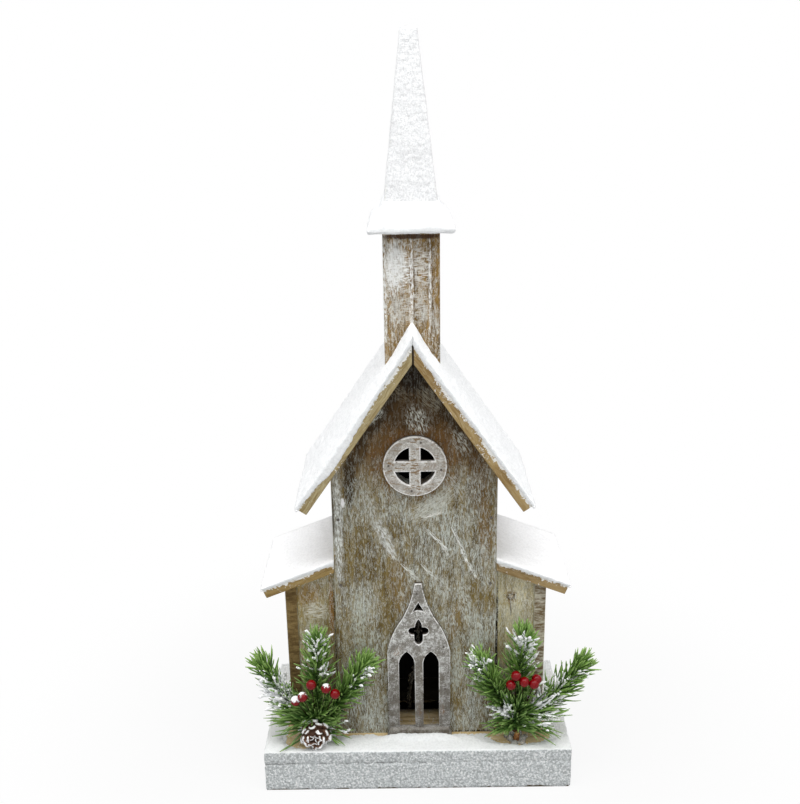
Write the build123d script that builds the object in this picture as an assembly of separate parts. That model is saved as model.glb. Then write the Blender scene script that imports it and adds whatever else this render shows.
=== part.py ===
from build123d import *
from math import cos, radians, sin, sqrt, tan

# Tabletop wooden church with snow, lit from inside by a battery light string.
# Millimetres. The origin is the centre of the base's underside, the front is -Y and +Z is up.

# Base box
base_width = 252.0
base_depth = 128.0
base_height = 36.0
board = 9.5                  # thickness of the base and wall boards
base_snow_top = 2.0
base_snow_side = 1.0
base_snow_lift = 1.5         # bare wood below the snow on the base's sides
wall_foot_gap = 3.0          # bare strip between the walls and the snow
bare_patch_reach = 27.0      # half width of the bare wood round each pine pick
bare_patch_depth = 12.0      # half depth of the same

# Hole in the floor for the wires
floor_hole_width = 50.0
floor_hole_depth = 26.0
floor_hole_inset = 23.0      # from the front wall's inner face to the hole

# Nave
nave_width = 130.0
nave_depth = 88.0
nave_setback = 26.0          # from the base's front edge to the front wall

# Main roof
roof_board = 9.0
roof_pitch = 55.3
ridge_height = 386.5         # top of the wood at the ridge
roof_slope = 158.0           # length down the slope
roof_front_overhang = 24.0
roof_back_overhang = 4.0
roof_snow = 2.2

# Side aisles
aisle_reach = 41.5           # from the nave's side to the aisle's outer face
aisle_setback = 7.0          # from the nave's front to the aisle's front edge
aisle_recess = 1.0           # the aisle's front board behind its side board's edge
aisle_pitch = 21.6
aisle_roof_top = 198.5       # top of the wood where it meets the nave
aisle_roof_slope = 63.4

# Tower, cap and spire
tower_width = 42.0
tower_board = 8.0
tower_setback = 10.0         # from the nave's front to the tower's front
tower_top = 460.0
cap_width = 59.0
cap_board = 9.0
cap_snow_side = 2.0
cap_snow_height = 21.7       # height of the heaped snow round the spire's foot
heap_shares = (0.0, 0.3, 0.55, 0.75, 0.9, 1.0)   # heights of the heap's sections
spire_foot_width = 41.0
spire_height = 128.0
spire_tip_width = 9.6
spire_tip_round = 2.5
spire_snow_side = 1.2
spire_snow_tip = 3.0
dowel_radius = 4.0
dowel_length = 24.0

# Round window
trim_thickness = 4.0
rosette_x = 0.7
rosette_z = 281.8
rosette_radius = 24.75
rosette_hole_radius = 16.0
rosette_bar = 8.8
window_hole_radius = 16.6    # hole in the wall behind the rosette

# Pointed door trim
door_x = 2.0
sill_height = 8.5
sill_depth = 7.0
sill_width = 55.0
sill_chamfer = 2.5
door_width = 51.4
door_shoulder = 117.0        # height where the straight sides end
door_tip = 180.0
door_tip_width = 5.6
lancet_width = 13.1
lancet_spacing = 20.0        # between the two lancets' middles
lancet_spring = 105.6
lancet_rise = 12.2
cross_z = 136.8
cross_span = 16.8
cross_arm = 7.6
cross_up = 11.4
cross_down = 13.0
cross_stem_width = 7.1
spandrel_z = 154.0
spandrel_height = 8.0
spandrel_width = 8.2
spandrel_sag = 1.5
shoulder_share = (0.88, 0.20)   # points of the door's curve, as shares of its half width and rise
turn_share = (0.56, 0.46)
hollow_share = (0.27, 0.72)
cross_upper_share = 0.8      # widths and points of the cross's stem
cross_point_share = 0.7
door_hole_margin = 1.2       # wall cut back from the edges of the openings

# Nails and brads
nail_radius = 0.6
nail_head_radius = 1.2
nail_head = 0.5
nail_length = 20.0
nail_clearance = 0.05
nail_heights = (80.0, 178.0, 236.0)
brad_radius = 0.45
brad_head_radius = 0.9
brad_head = 0.4
brad_length = 10.0
rosette_brad_angles = (-8.0, 77.0, 177.0, 262.0)
door_brads = ((-1.0, 171.5), (20.3, 122.0), (-21.5, 74.0), (21.5, 81.6), (-21.5, 112.0))

# Battery box under the floor, with its sliding cover and switch
cell_radius = 7.25
cell_length = 50.5
cell_count = 3
cell_clearance = 0.4
box_wall = 2.0
box_right = -26.0            # end of the box that the wire leaves
box_y = 4.0
switch_bay = 12.0
contact_plate = 0.5
contact_button = 2.5
contact_button_radius = 2.8
contact_height = 12.0
cover_thickness = 2.0
cover_clearance = 0.25
cover_groove = 1.0
cover_lip = 0.8
grip_rib = 1.0
grip_ribs = 4
grip_pitch = 3.0
slider_width = 5.0
slider_length = 4.0
slider_travel = 3.0
slider_proud = 1.6
slider_flange = 1.5
slider_flange_side = 2.5     # flange beyond the slider, across its travel
slider_flange_end = 4.0      # and along it
slider_clearance = 0.25
ear_length = 8.0
ear_thickness = 2.0
screw_radius = 1.4
screw_head_radius = 2.8
screw_head = 1.8
screw_bite = 7.0

# Light string
wire_radius = 2.0
bulb_radius = 2.2
bulb_length = 7.0
bulb_gap = 0.25
staple_wire = 1.0
staple_bite = 4.0
staple_gap = 0.25
staple_share = 0.3           # place of a staple along its run of the wire
wire_bend_share = 0.45       # part of each run that its bends take up
wire_exit = 17.0             # height where the wire leaves the box
wire_first_bend = -14.0
wire_rise = ((-5.5, 2.0, 27.0), (-7.5, -6.0, 51.0), (-2.5, -18.0, 84.0))   # up through the floor
wire_up_wall = ((2.5, 120.0), (0.5, 158.0), (2.5, 198.0), (1.0, 235.0))    # (x, z) on the wall
bulb_runs = (2, 3, 4, 5, 6)  # runs of the wire that carry a bulb; one more ends it
staple_runs = (5, 6)         # runs of the wire that a staple holds

# Pine picks, berries and cone
pick_radius = 3.6
pick_height = 14.0
glue_radius = 9.0
glue_height = 5.0
twig_radius = 1.1
twig_spacing = 2.5           # between twigs on top of the pick
foot_run = 5.0               # twigs and berry wires start this far back and are cut flat on the pick
needle_radius = 0.55
needle_angle = 35.0
needle_rows = 12
needles_per_row = 6
needle_cone = 0.20           # slope of the cone that holds each sprig's needles
needle_reach = 13.0          # largest distance of a needle's tip from its twig
berry_radius = 4.1
berry_wire_radius = 0.4
berry_wire_spacing = 1.1
berry_wire_row = 2.4         # berry wires in front of the pick's middle
left_pick_reach = 19.0       # from the nave's side to the left pick
right_pick_reach = 17.5
left_pick_gap = 4.0          # from the front wall's face to the left pick's middle
right_pick_gap = 5.0
left_twigs = {"outer": (-0.44, -0.09, 0.89), "middle": (0.04, -0.09, 0.99), "inner": (0.43, -0.17, 0.88)}
right_twigs = {"outer": (0.60, -0.08, 0.80), "middle": (0.05, -0.09, 0.99), "inner": (-0.38, -0.17, 0.91)}
left_twig_lengths = {"outer": 74.0, "middle": 86.0, "inner": 77.0}
right_twig_lengths = {"outer": 63.0, "middle": 89.0, "inner": 78.0}
needle_starts = {"outer": 12.0, "middle": 16.0, "inner": 12.0}
# Berries, from the middle of their pick's top
left_berries = ((-15.0, -19.0, 35.3), (-8.8, -21.0, 40.3), (-1.5, -20.0, 50.9),
                (10.4, -20.0, 47.4), (17.5, -20.0, 42.1))
right_berries = ((-6.5, -19.0, 48.4), (-2.6, -19.0, 56.8), (4.1, -20.0, 51.7),
                 (12.0, -20.0, 49.7), (14.5, -16.0, 51.4))
cone_aside = -1.0            # the pine cone's middle from the left pick
cone_ahead = 15.0
cone_radius = 14.3
cone_length = 19.0
cone_core = 0.62             # core radius as a share of the scales' reach
cone_rows = 5
cone_scales = 7              # scales in each row
cone_scale_width = 8.5
cone_scale_thickness = 2.6
cone_end_share = 0.9         # how far the outer rows of scales are drawn in
cone_flat = 1.0              # flat on the underside where the cone is glued

# Places that follow from the sizes above
floor = base_height
base_inside = base_height - board
nave_front = -base_depth / 2 + nave_setback
nave_back = nave_front + nave_depth
nave_side = nave_width / 2
wall_inner_front = nave_front + board
wall_inner_back = nave_back - board
roof_front = nave_front - roof_front_overhang
roof_back = nave_back + roof_back_overhang
aisle_side = nave_side + aisle_reach
aisle_front = nave_front + aisle_setback
tower_front = nave_front + tower_setback
tower_y = tower_front + tower_width / 2
tower_back = tower_front + tower_width
cap_top = tower_top + cap_board
snow_top = base_height + base_snow_top
pitch = radians(roof_pitch)
aisle_angle = radians(aisle_pitch)
left_pick = (-nave_side - left_pick_reach, nave_front - left_pick_gap)
right_pick = (nave_side + right_pick_reach, nave_front - right_pick_gap)
pick_top = floor + pick_height
cone_x = left_pick[0] + cone_aside
cone_y = left_pick[1] - cone_ahead


def block(x0, x1, y0, y1, z0, z1):
    """A box between two corners."""
    middle = Pos((x0 + x1) / 2, (y0 + y1) / 2, (z0 + z1) / 2)
    return middle * Box(x1 - x0, y1 - y0, z1 - z0)


def prism(points, y0, y1):
    """A prism along Y on an outline of (x, z) points."""
    outline = Polyline(*[(x, y0, z) for x, z in points], close=True)
    return extrude(make_face(outline), amount=y1 - y0, dir=(0, 1, 0))


def rod(start, end, radius):
    """A round rod between two points."""
    line = Vector(*end) - Vector(*start)
    end_plane = Plane(origin=start, z_dir=line)
    return extrude(end_plane * Circle(radius), amount=line.length)


def flip(part):
    """The same piece on the other side of the church."""
    return mirror(part, Plane.YZ)


def both_sides(name, part, nodes):
    """Keeps a right-hand piece and its left-hand twin."""
    nodes[name + "_right"] = part
    nodes[name + "_left"] = flip(part)


def main_roof_height(x, out):
    """Height, above x, of the plane that lies out from the main roof's wood."""
    return ridge_height + out / cos(pitch) - abs(x) * tan(pitch)


def main_roof_point(along, out):
    """Point of the right slope, along it from the ridge and out from its wood."""
    x = along * cos(pitch) + out * sin(pitch)
    return (x, ridge_height - along * sin(pitch) + out * cos(pitch))


def aisle_roof_height(x, out):
    """Height, above x, of the plane that lies out from the aisle roof's wood."""
    return aisle_roof_top + out / cos(aisle_angle) - (x - nave_side) * tan(aisle_angle)


def aisle_roof_point(along, out):
    """Point of the aisle roof, along it from the nave and out from its wood."""
    x = nave_side + along * cos(aisle_angle) + out * sin(aisle_angle)
    return (x, aisle_roof_top - along * sin(aisle_angle) + out * cos(aisle_angle))


nodes = {}


# Pine picks: a wrapped stem in a blob of glue, three sprigs and wired berries
def needle(root, aim, length):
    """One three-sided needle."""
    plane = Plane(origin=root, z_dir=aim)
    return extrude(plane * RegularPolygon(needle_radius, 3), amount=length)


def pine_sprig(foot, aim, length, first):
    """A straight twig with rows of needles that lean towards its tip."""
    lean = radians(needle_angle)
    axis = Vector(*aim).normalized()
    frame = Plane(origin=foot, z_dir=axis)
    above = block(foot[0] - length, foot[0] + length, foot[1] - length, foot[1] + length,
                  foot[2], foot[2] + 2 * length)
    start = Vector(*foot) - axis * foot_run
    end = Vector(*foot) + axis * length
    twig = rod(start, end, twig_radius) & above
    needles = []
    for row in range(needle_rows):
        place = first + (length - first) * row / (needle_rows - 1)
        root = Vector(*foot) + axis * place
        free = needle_cone * place / (sin(lean) - needle_cone * cos(lean))
        reach = min(free, needle_reach / sin(lean))
        for turn in range(needles_per_row):
            angle = radians(360 / needles_per_row * (turn + 0.5 * (row % 2)))
            side = frame.x_dir * cos(angle) + frame.y_dir * sin(angle)
            needles.append(needle(root, axis * cos(lean) + side * sin(lean), reach))
    return twig.fuse(*needles)


def berry(foot, place):
    """A berry and the wire that carries it."""
    line = (Vector(*place) - Vector(*foot)).normalized()
    start = Vector(*foot) - line * foot_run
    wire = rod(start, place, berry_wire_radius)
    below = Pos(foot[0], foot[1], foot[2] - pick_height) * Box(pick_height, pick_height, 2 * pick_height)
    return wire - below + Pos(*place) * Sphere(berry_radius)


def pine_pick(side, place, twigs, lengths, berries):
    """Stem, glue, sprigs and berries of one pick."""
    x, y = place
    stem = rod((x, y, floor), (x, y, pick_top), pick_radius)
    dome_radius = (glue_radius ** 2 + glue_height ** 2) / (2 * glue_height)
    dome = Pos(x, y, floor + glue_height - dome_radius) * Sphere(dome_radius)
    room = block(x - glue_radius, x + glue_radius, y - glue_radius, y + glue_radius,
                 floor, floor + glue_height)
    nodes["pick_stem_" + side] = stem
    nodes["glue_blob_" + side] = (dome & room) - stem
    turn = -1 if side == "left" else 1
    for name, step in (("outer", turn), ("middle", 0), ("inner", -turn)):
        foot = (x + step * twig_spacing, y + twig_radius, pick_top)
        nodes[f"pine_sprig_{side}_{name}"] = pine_sprig(
            foot, twigs[name], lengths[name], needle_starts[name])
    wired = []
    for number, (dx, dy, dz) in enumerate(berries):
        across = (number - (len(berries) - 1) / 2) * berry_wire_spacing
        wired.append(berry((x + across, y - berry_wire_row, pick_top), (x + dx, y + dy, pick_top + dz)))
    nodes["berries_" + side] = Compound(children=wired)


pine_pick("left", left_pick, left_twigs, left_twig_lengths, left_berries)
pine_pick("right", right_pick, right_twigs, right_twig_lengths, right_berries)


# Pine cone, lying with its tip to the front
def pine_cone():
    """A tapered core with rings of blunt scales."""
    centre = Vector(cone_x, cone_y, floor + cone_radius - cone_flat)
    frame = Plane(origin=centre, x_dir=(1, 0, 0), z_dir=(0, -1, 0))
    core_length = cone_length - cone_scale_thickness
    core = frame * scale(Sphere(1), by=(cone_radius * cone_core, cone_radius * cone_core, core_length / 2))
    scales = []
    for row in range(cone_rows):
        share = (row + 0.5) / cone_rows
        height = (share - 0.5) * (cone_length - cone_scale_thickness)
        reach = cone_radius * sqrt(1 - (cone_end_share * (2 * share - 1)) ** 2)
        for step in range(cone_scales):
            turn = 360 / cone_scales * (step + 0.5 * (row % 2))
            plate = Pos(reach / 2, 0, height) * Box(reach, cone_scale_width * reach / cone_radius,
                                                    cone_scale_thickness)
            scales.append(frame * (Rot(0, 0, turn) * plate))
    whole = core.fuse(*scales)
    above = block(cone_x - 2 * cone_radius, cone_x + 2 * cone_radius, cone_y - cone_length,
                  cone_y + cone_length, floor, floor + 3 * cone_radius)
    return whole & above


nodes["pinecone"] = pine_cone()

# Base: a top board on four aprons
half_w = base_width / 2
half_d = base_depth / 2
hole_front = wall_inner_front + floor_hole_inset
floor_hole = block(door_x - floor_hole_width / 2, door_x + floor_hole_width / 2,
                   hole_front, hole_front + floor_hole_depth, base_inside, floor)
top_board = block(-half_w, half_w, -half_d, half_d, base_inside, base_height) - floor_hole
nodes["base_front_apron"] = block(-half_w, half_w, -half_d, -half_d + board, 0, base_inside)
nodes["base_back_apron"] = block(-half_w, half_w, half_d - board, half_d, 0, base_inside)
side_apron = block(half_w - board, half_w, -half_d + board, half_d - board, 0, base_inside)
both_sides("base_apron", side_apron, nodes)

# Snow on the base: a coat on its sides and a layer on top, bare round the walls and the picks
snow_coat = block(-half_w - base_snow_side, half_w + base_snow_side, -half_d - base_snow_side,
                  half_d + base_snow_side, base_snow_lift, snow_top)
snow_coat -= block(-half_w, half_w, -half_d, half_d, 0, base_height)
nave_print = block(-nave_side - wall_foot_gap, nave_side + wall_foot_gap, nave_front - wall_foot_gap,
                   nave_back + wall_foot_gap, floor, snow_top)
aisle_print = block(-aisle_side - wall_foot_gap, aisle_side + wall_foot_gap, aisle_front - wall_foot_gap,
                    nave_back + wall_foot_gap, floor, snow_top)
sill_print = block(door_x - sill_width / 2, door_x + sill_width / 2, nave_front - sill_depth,
                   nave_front, floor, snow_top)
snow_coat = snow_coat - nave_print - aisle_print - sill_print
for patch_x, patch_y in (left_pick, right_pick):
    patch = extrude(Ellipse(bare_patch_reach, bare_patch_depth), amount=base_snow_top)
    snow_coat -= Pos(patch_x, patch_y, floor) * patch
cone_print = block(cone_x - cone_radius, cone_x + cone_radius, cone_y - cone_length / 2,
                   left_pick[1], floor, snow_top)
nodes["base_snow"] = snow_coat - cone_print


# Nave: front and back gable boards with the side boards between them
def gable(y0, y1):
    """A gable board under the main roof."""
    points = [(-nave_side, floor), (nave_side, floor), (nave_side, main_roof_height(nave_side, -roof_board)),
              (0, main_roof_height(0, -roof_board)), (-nave_side, main_roof_height(nave_side, -roof_board))]
    return prism(points, y0, y1)


wall_inside = nave_side - board
side_points = [(wall_inside, floor), (nave_side, floor),
               (nave_side, main_roof_height(nave_side, -roof_board)),
               (wall_inside, main_roof_height(wall_inside, -roof_board))]
front_wall = gable(nave_front, wall_inner_front)
back_wall = gable(wall_inner_back, nave_back)
right_wall = prism(side_points, wall_inner_front, wall_inner_back)

# Main roof: two boards that meet in a plumb cut, and the snow on them
roof_points = [(0, main_roof_height(0, 0)), main_roof_point(roof_slope, 0),
               main_roof_point(roof_slope, -roof_board), (0, main_roof_height(0, -roof_board))]
both_sides("main_roof", prism(roof_points, roof_front, roof_back), nodes)
roof_snow_points = [(0, main_roof_height(0, 0)), main_roof_point(roof_slope, 0),
                    main_roof_point(roof_slope, roof_snow), (0, main_roof_height(0, roof_snow))]
tower_print = block(-tower_width / 2, tower_width / 2, tower_front, tower_back, floor, tower_top)
both_sides("main_roof_snow", prism(roof_snow_points, roof_front, roof_back) - tower_print, nodes)

# Side aisles
aisle_inside = aisle_side - board
aisle_side_points = [(aisle_inside, floor), (aisle_side, floor),
                     (aisle_side, aisle_roof_height(aisle_side, -roof_board)),
                     (aisle_inside, aisle_roof_height(aisle_inside, -roof_board))]
aisle_end_points = [(nave_side, floor), (aisle_inside, floor),
                    (aisle_inside, aisle_roof_height(aisle_inside, -roof_board)),
                    (nave_side, aisle_roof_height(nave_side, -roof_board))]
aisle_roof_points = [(nave_side, aisle_roof_height(nave_side, 0)), aisle_roof_point(aisle_roof_slope, 0),
                     aisle_roof_point(aisle_roof_slope, -roof_board),
                     (nave_side, aisle_roof_height(nave_side, -roof_board))]
aisle_snow_points = [(nave_side, aisle_roof_height(nave_side, 0)), aisle_roof_point(aisle_roof_slope, 0),
                     aisle_roof_point(aisle_roof_slope, roof_snow),
                     (nave_side, aisle_roof_height(nave_side, roof_snow))]
aisle_board_front = aisle_front + aisle_recess
both_sides("aisle_side", prism(aisle_side_points, aisle_front, nave_back), nodes)
both_sides("aisle_front", prism(aisle_end_points, aisle_board_front, aisle_board_front + board), nodes)
both_sides("aisle_back", prism(aisle_end_points, wall_inner_back, nave_back), nodes)
both_sides("aisle_roof", prism(aisle_roof_points, nave_front, roof_back), nodes)
both_sides("aisle_roof_snow", prism(aisle_snow_points, nave_front, roof_back), nodes)

# Tower: four boards cut to sit over the ridge
tower_side = tower_width / 2
tower_inside = tower_side - tower_board
tower_face = [(-tower_side, main_roof_height(tower_side, 0)), (0, ridge_height),
              (tower_side, main_roof_height(tower_side, 0)), (tower_side, tower_top),
              (-tower_side, tower_top)]
tower_flank = [(tower_inside, main_roof_height(tower_inside, 0)),
               (tower_side, main_roof_height(tower_side, 0)), (tower_side, tower_top),
               (tower_inside, tower_top)]
nodes["tower_front"] = prism(tower_face, tower_front, tower_front + tower_board)
nodes["tower_back"] = prism(tower_face, tower_back - tower_board, tower_back)
both_sides("tower_side", prism(tower_flank, tower_front + tower_board, tower_back - tower_board), nodes)


# Cap and spire, pinned together by a dowel, and the snow on them
def square(width, z):
    """A square about the tower's middle."""
    return Pos(0, tower_y, z) * Rectangle(width, width)


spire_top = cap_top + spire_height
spire_slope = (spire_foot_width - spire_tip_width) / spire_height
snow_foot = tower_top + cap_snow_height
snow_foot_width = spire_foot_width - spire_slope * (snow_foot - cap_top) + 2 * spire_snow_side
snow_tip_width = spire_tip_width + 2 * spire_snow_side
cap_snow_width = cap_width + 2 * cap_snow_side
dowel_ends = (0, tower_y, tower_top), (0, tower_y, tower_top + dowel_length)
dowel_hole = rod(*dowel_ends, dowel_radius + nail_clearance)
cap_half = cap_width / 2
cap = block(-cap_half, cap_half, tower_y - cap_half, tower_y + cap_half, tower_top, cap_top)
spire = loft([square(spire_foot_width, cap_top), square(spire_tip_width, spire_top)], ruled=True)
spire_coat = loft([square(snow_foot_width, snow_foot), square(snow_tip_width, spire_top + spire_snow_tip)],
                  ruled=True)
spire_coat = fillet(spire_coat.faces().sort_by(Axis.Z)[-1].edges(), spire_tip_round)
heap_sections = []
for share in heap_shares:
    width = snow_foot_width + (cap_snow_width - snow_foot_width) * sqrt(1 - share ** 2)
    heap_sections.append(square(width, tower_top + cap_snow_height * share))
heap = loft(heap_sections, ruled=True)
nodes["tower_cap"] = cap - dowel_hole
nodes["spire_core"] = spire - dowel_hole
nodes["spire_dowel"] = rod(*dowel_ends, dowel_radius)
nodes["cap_snow"] = heap - cap - spire
nodes["spire_snow"] = spire_coat - spire

# Trim of the front wall: pointed door frame, sill and round window
wall_plane = Plane.XZ.offset(-nave_front)
sill_top = floor + sill_height


def pointed(width, foot, spring, rise):
    """A pointed opening with two arcs, about x = 0."""
    half = width / 2
    radius = (half ** 2 + rise ** 2) / (2 * half)
    middle_height = rise / 2
    bulge = sqrt(radius ** 2 - middle_height ** 2) - (radius - half)
    edges = [Line((-half, spring), (-half, foot)), Line((-half, foot), (half, foot)),
             Line((half, foot), (half, spring)),
             ThreePointArc((half, spring), (bulge, spring + middle_height), (0, spring + rise)),
             ThreePointArc((0, spring + rise), (-bulge, spring + middle_height), (-half, spring))]
    return make_face(edges)


def door_outline():
    """Straight sides, round shoulders and hollow curves up to a blunt tip."""
    half = door_width / 2
    tip = door_tip_width / 2
    rise = door_tip - door_shoulder
    shoulder, turn, hollow = [(half * across, door_shoulder + rise * up)
                              for across, up in (shoulder_share, turn_share, hollow_share)]
    right = [Line((half, sill_top), (half, door_shoulder)),
             ThreePointArc((half, door_shoulder), shoulder, turn),
             ThreePointArc(turn, hollow, (tip, door_tip))]
    left = [mirror(edge, Plane.YZ) for edge in right]
    ends = [Line((-half, sill_top), (half, sill_top)), Line((-tip, door_tip), (tip, door_tip))]
    return make_face(right + left + ends)


def cross_opening():
    """A cross with round side arms and pointed ends above and below."""
    arms = Pos(0, cross_z) * SlotOverall(cross_span, cross_arm)
    point = cross_stem_width * cross_point_share
    upper = pointed(cross_stem_width * cross_upper_share, 0, cross_arm / 2, cross_up - cross_arm / 2)
    lower = Rot(0, 0, 180) * pointed(cross_stem_width, 0, cross_down - point, point)
    return arms + Pos(0, cross_z) * upper + Pos(0, cross_z) * lower


def spandrel_opening():
    """A small triangle with a hollow base."""
    half = spandrel_width / 2
    edges = [ThreePointArc((-half, spandrel_z), (0, spandrel_z + spandrel_sag), (half, spandrel_z)),
             Line((half, spandrel_z), (0, spandrel_z + spandrel_height)),
             Line((0, spandrel_z + spandrel_height), (-half, spandrel_z))]
    return make_face(edges)


door_face = door_outline()
for middle in (-lancet_spacing / 2, lancet_spacing / 2):
    door_face -= Pos(middle, 0) * pointed(lancet_width, sill_top, lancet_spring, lancet_rise)
door_face = door_face - cross_opening() - spandrel_opening()
door_trim = extrude(wall_plane * (Pos(door_x, 0) * door_face), amount=trim_thickness)

sill_half = sill_width / 2
sill_outline = Polyline((-sill_half, floor), (sill_half, floor), (sill_half - sill_chamfer, sill_top),
                        (-sill_half + sill_chamfer, sill_top), close=True)
nodes["door_sill"] = extrude(wall_plane * (Pos(door_x, 0) * make_face(sill_outline)), amount=sill_depth)

rosette_face = Circle(rosette_radius) - Circle(rosette_hole_radius)
rosette_span = 2 * rosette_hole_radius
rosette_face += Rectangle(rosette_span, rosette_bar) + Rectangle(rosette_bar, rosette_span)
rosette = extrude(wall_plane * (Pos(rosette_x, rosette_z) * rosette_face), amount=trim_thickness)

door_hole_half = (lancet_spacing + lancet_width) / 2 + door_hole_margin
door_hole_knee = lancet_spring + lancet_rise + door_hole_margin
door_hole_top = spandrel_z + spandrel_height + door_hole_margin
door_hole_points = [(door_x - door_hole_half, floor), (door_x + door_hole_half, floor),
                    (door_x + door_hole_half, door_hole_knee),
                    (door_x + spandrel_width / 2, door_hole_top),
                    (door_x - spandrel_width / 2, door_hole_top),
                    (door_x - door_hole_half, door_hole_knee)]
front_wall -= prism(door_hole_points, nave_front, wall_inner_front)
window_middle = (rosette_x, nave_front, rosette_z)
front_wall -= rod(window_middle, (rosette_x, wall_inner_front, rosette_z), window_hole_radius)

# Brads that hold the trim, and nails that hold the gable boards
brads = []
rosette_brad_reach = (rosette_radius + rosette_hole_radius) / 2
brad_spots = [(rosette_x + rosette_brad_reach * cos(radians(turn)),
               rosette_z + rosette_brad_reach * sin(radians(turn))) for turn in rosette_brad_angles]
brad_spots += [(door_x + across, height) for across, height in door_brads]
trim_front = nave_front - trim_thickness
for x, z in brad_spots:
    head = rod((x, trim_front - brad_head, z), (x, trim_front, z), brad_head_radius)
    brads.append(head + rod((x, trim_front, z), (x, trim_front + brad_length, z), brad_radius))
    drilled = rod((x, trim_front, z), (x, trim_front + brad_length, z), brad_radius + nail_clearance)
    door_trim -= drilled
    rosette -= drilled
    front_wall -= drilled
nodes["trim_brads"] = Compound(children=brads)
nodes["door_tracery"] = door_trim
nodes["window_rosette"] = rosette

nails = []
nail_x = nave_side - board / 2
left_wall = flip(right_wall)
for z in nail_heights:
    for x in (-nail_x, nail_x):
        for face, inward in ((nave_front, 1), (nave_back, -1)):
            head = rod((x, face - inward * nail_head, z), (x, face, z), nail_head_radius)
            tip = (x, face + inward * nail_length, z)
            nails.append(head + rod((x, face, z), tip, nail_radius))
            drilled = rod((x, face, z), tip, nail_radius + nail_clearance)
            front_wall -= drilled
            back_wall -= drilled
            left_wall -= drilled
            right_wall -= drilled
nodes["wall_nails"] = Compound(children=nails)
nodes["nave_back_wall"] = back_wall
nodes["nave_left_wall"] = left_wall
nodes["nave_right_wall"] = right_wall

# Battery box screwed under the floor, open below, with a cover that slides out
bay_width = cell_count * 2 * cell_radius + (cell_count + 1) * cell_clearance
bay_length = cell_length + 2 * (contact_plate + contact_button)
bay_right = box_right - box_wall
bay_left = bay_right - bay_length
box_left = bay_left - box_wall - switch_bay - box_wall
box_half = bay_width / 2 + box_wall
box_top = base_inside
bay_top = box_top - box_wall
groove_height = cover_thickness + 2 * cover_clearance
cover_low = bay_top - 2 * cell_radius - 2 * cell_clearance - groove_height + cover_clearance
groove_low = cover_low - cover_clearance
groove_high = groove_low + groove_height
box_low = groove_low - cover_lip
switch_left = box_left + box_wall
switch_right = bay_left - box_wall
switch_x = (switch_left + switch_right) / 2

case = block(box_left, box_right, box_y - box_half, box_y + box_half, box_low, box_top)
case -= block(bay_left, bay_right, box_y - bay_width / 2, box_y + bay_width / 2, box_low, bay_top)
groove_half = bay_width / 2 + cover_groove
case -= block(bay_left, box_right, box_y - groove_half, box_y + groove_half, groove_low, groove_high)
case -= block(bay_right, box_right, box_y - bay_width / 2, box_y + bay_width / 2, box_low, groove_high)
case -= block(switch_left, switch_right, box_y - bay_width / 2, box_y + bay_width / 2,
              box_low + box_wall, bay_top)
slot_half_x = slider_width / 2 + slider_clearance
slot_half_y = (slider_length + slider_travel) / 2 + slider_clearance
case -= block(switch_x - slot_half_x, switch_x + slot_half_x, box_y - slot_half_y, box_y + slot_half_y,
              box_low, box_low + box_wall)
ear_y = box_half + ear_length / 2
ear_low = box_top - ear_thickness
ear_x = (bay_left + bay_right) / 2
screws = []
for side in (-1, 1):
    ear_centre = box_y + side * ear_y
    case += block(ear_x - ear_length / 2, ear_x + ear_length / 2, ear_centre - ear_length / 2,
                  ear_centre + ear_length / 2, ear_low, box_top)
    under = (ear_x, ear_centre, ear_low)
    tip = (ear_x, ear_centre, box_top + screw_bite)
    shank = rod(under, tip, screw_radius)
    screws.append(shank + rod((ear_x, ear_centre, ear_low - screw_head), under, screw_head_radius))
    drilled = rod(under, tip, screw_radius + nail_clearance)
    case -= drilled
    top_board -= drilled
nodes["box_screws"] = Compound(children=screws)
nodes["base_top_board"] = top_board

cover_half = groove_half - cover_clearance
cover_left = bay_left + cover_clearance
cover_top = cover_low + cover_thickness
cover = block(cover_left, box_right, box_y - cover_half, box_y + cover_half, cover_low, cover_top)
for step in range(grip_ribs):
    rib_x = box_right - box_wall - grip_pitch * (step + 1)
    cover += block(rib_x, rib_x + grip_rib, box_y - bay_width / 4, box_y + bay_width / 4,
                   cover_low - cover_lip, cover_low)
nodes["battery_cover"] = cover

cell_z = cover_top + cover_clearance + cell_clearance + cell_radius
cells = []
for step in range(cell_count):
    cell_y = box_y + (step - (cell_count - 1) / 2) * (2 * cell_radius + cell_clearance)
    start = bay_left + contact_plate + contact_button
    cells.append(rod((start, cell_y, cell_z), (start + cell_length, cell_y, cell_z), cell_radius))
nodes["batteries"] = Compound(children=cells)

contacts = []
for wall_x, inward in ((bay_left, 1), (bay_right, -1)):
    plate_x = sorted((wall_x, wall_x + inward * contact_plate))
    plate_half = bay_width / 2 - cell_clearance
    plate = block(plate_x[0], plate_x[1], box_y - plate_half, box_y + plate_half,
                  bay_top - contact_height, bay_top)
    for step in range(cell_count):
        cell_y = box_y + (step - (cell_count - 1) / 2) * (2 * cell_radius + cell_clearance)
        foot = wall_x + inward * contact_plate
        plate += rod((foot, cell_y, cell_z), (foot + inward * contact_button, cell_y, cell_z),
                     contact_button_radius)
    contacts.append(plate)
nodes["battery_contacts"] = Compound(children=contacts)

flange_low = box_low + box_wall + slider_clearance
slider_y = box_y - slider_travel / 2
slider = block(switch_x - slider_width / 2, switch_x + slider_width / 2, slider_y - slider_length / 2,
               slider_y + slider_length / 2, box_low - slider_proud, flange_low)
flange_half_x = slider_width / 2 + slider_flange_side
flange_half_y = slider_length / 2 + slider_flange_end
slider += block(switch_x - flange_half_x, switch_x + flange_half_x, slider_y - flange_half_y,
                slider_y + flange_half_y, flange_low, flange_low + slider_flange)
nodes["switch_slider"] = slider

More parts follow.
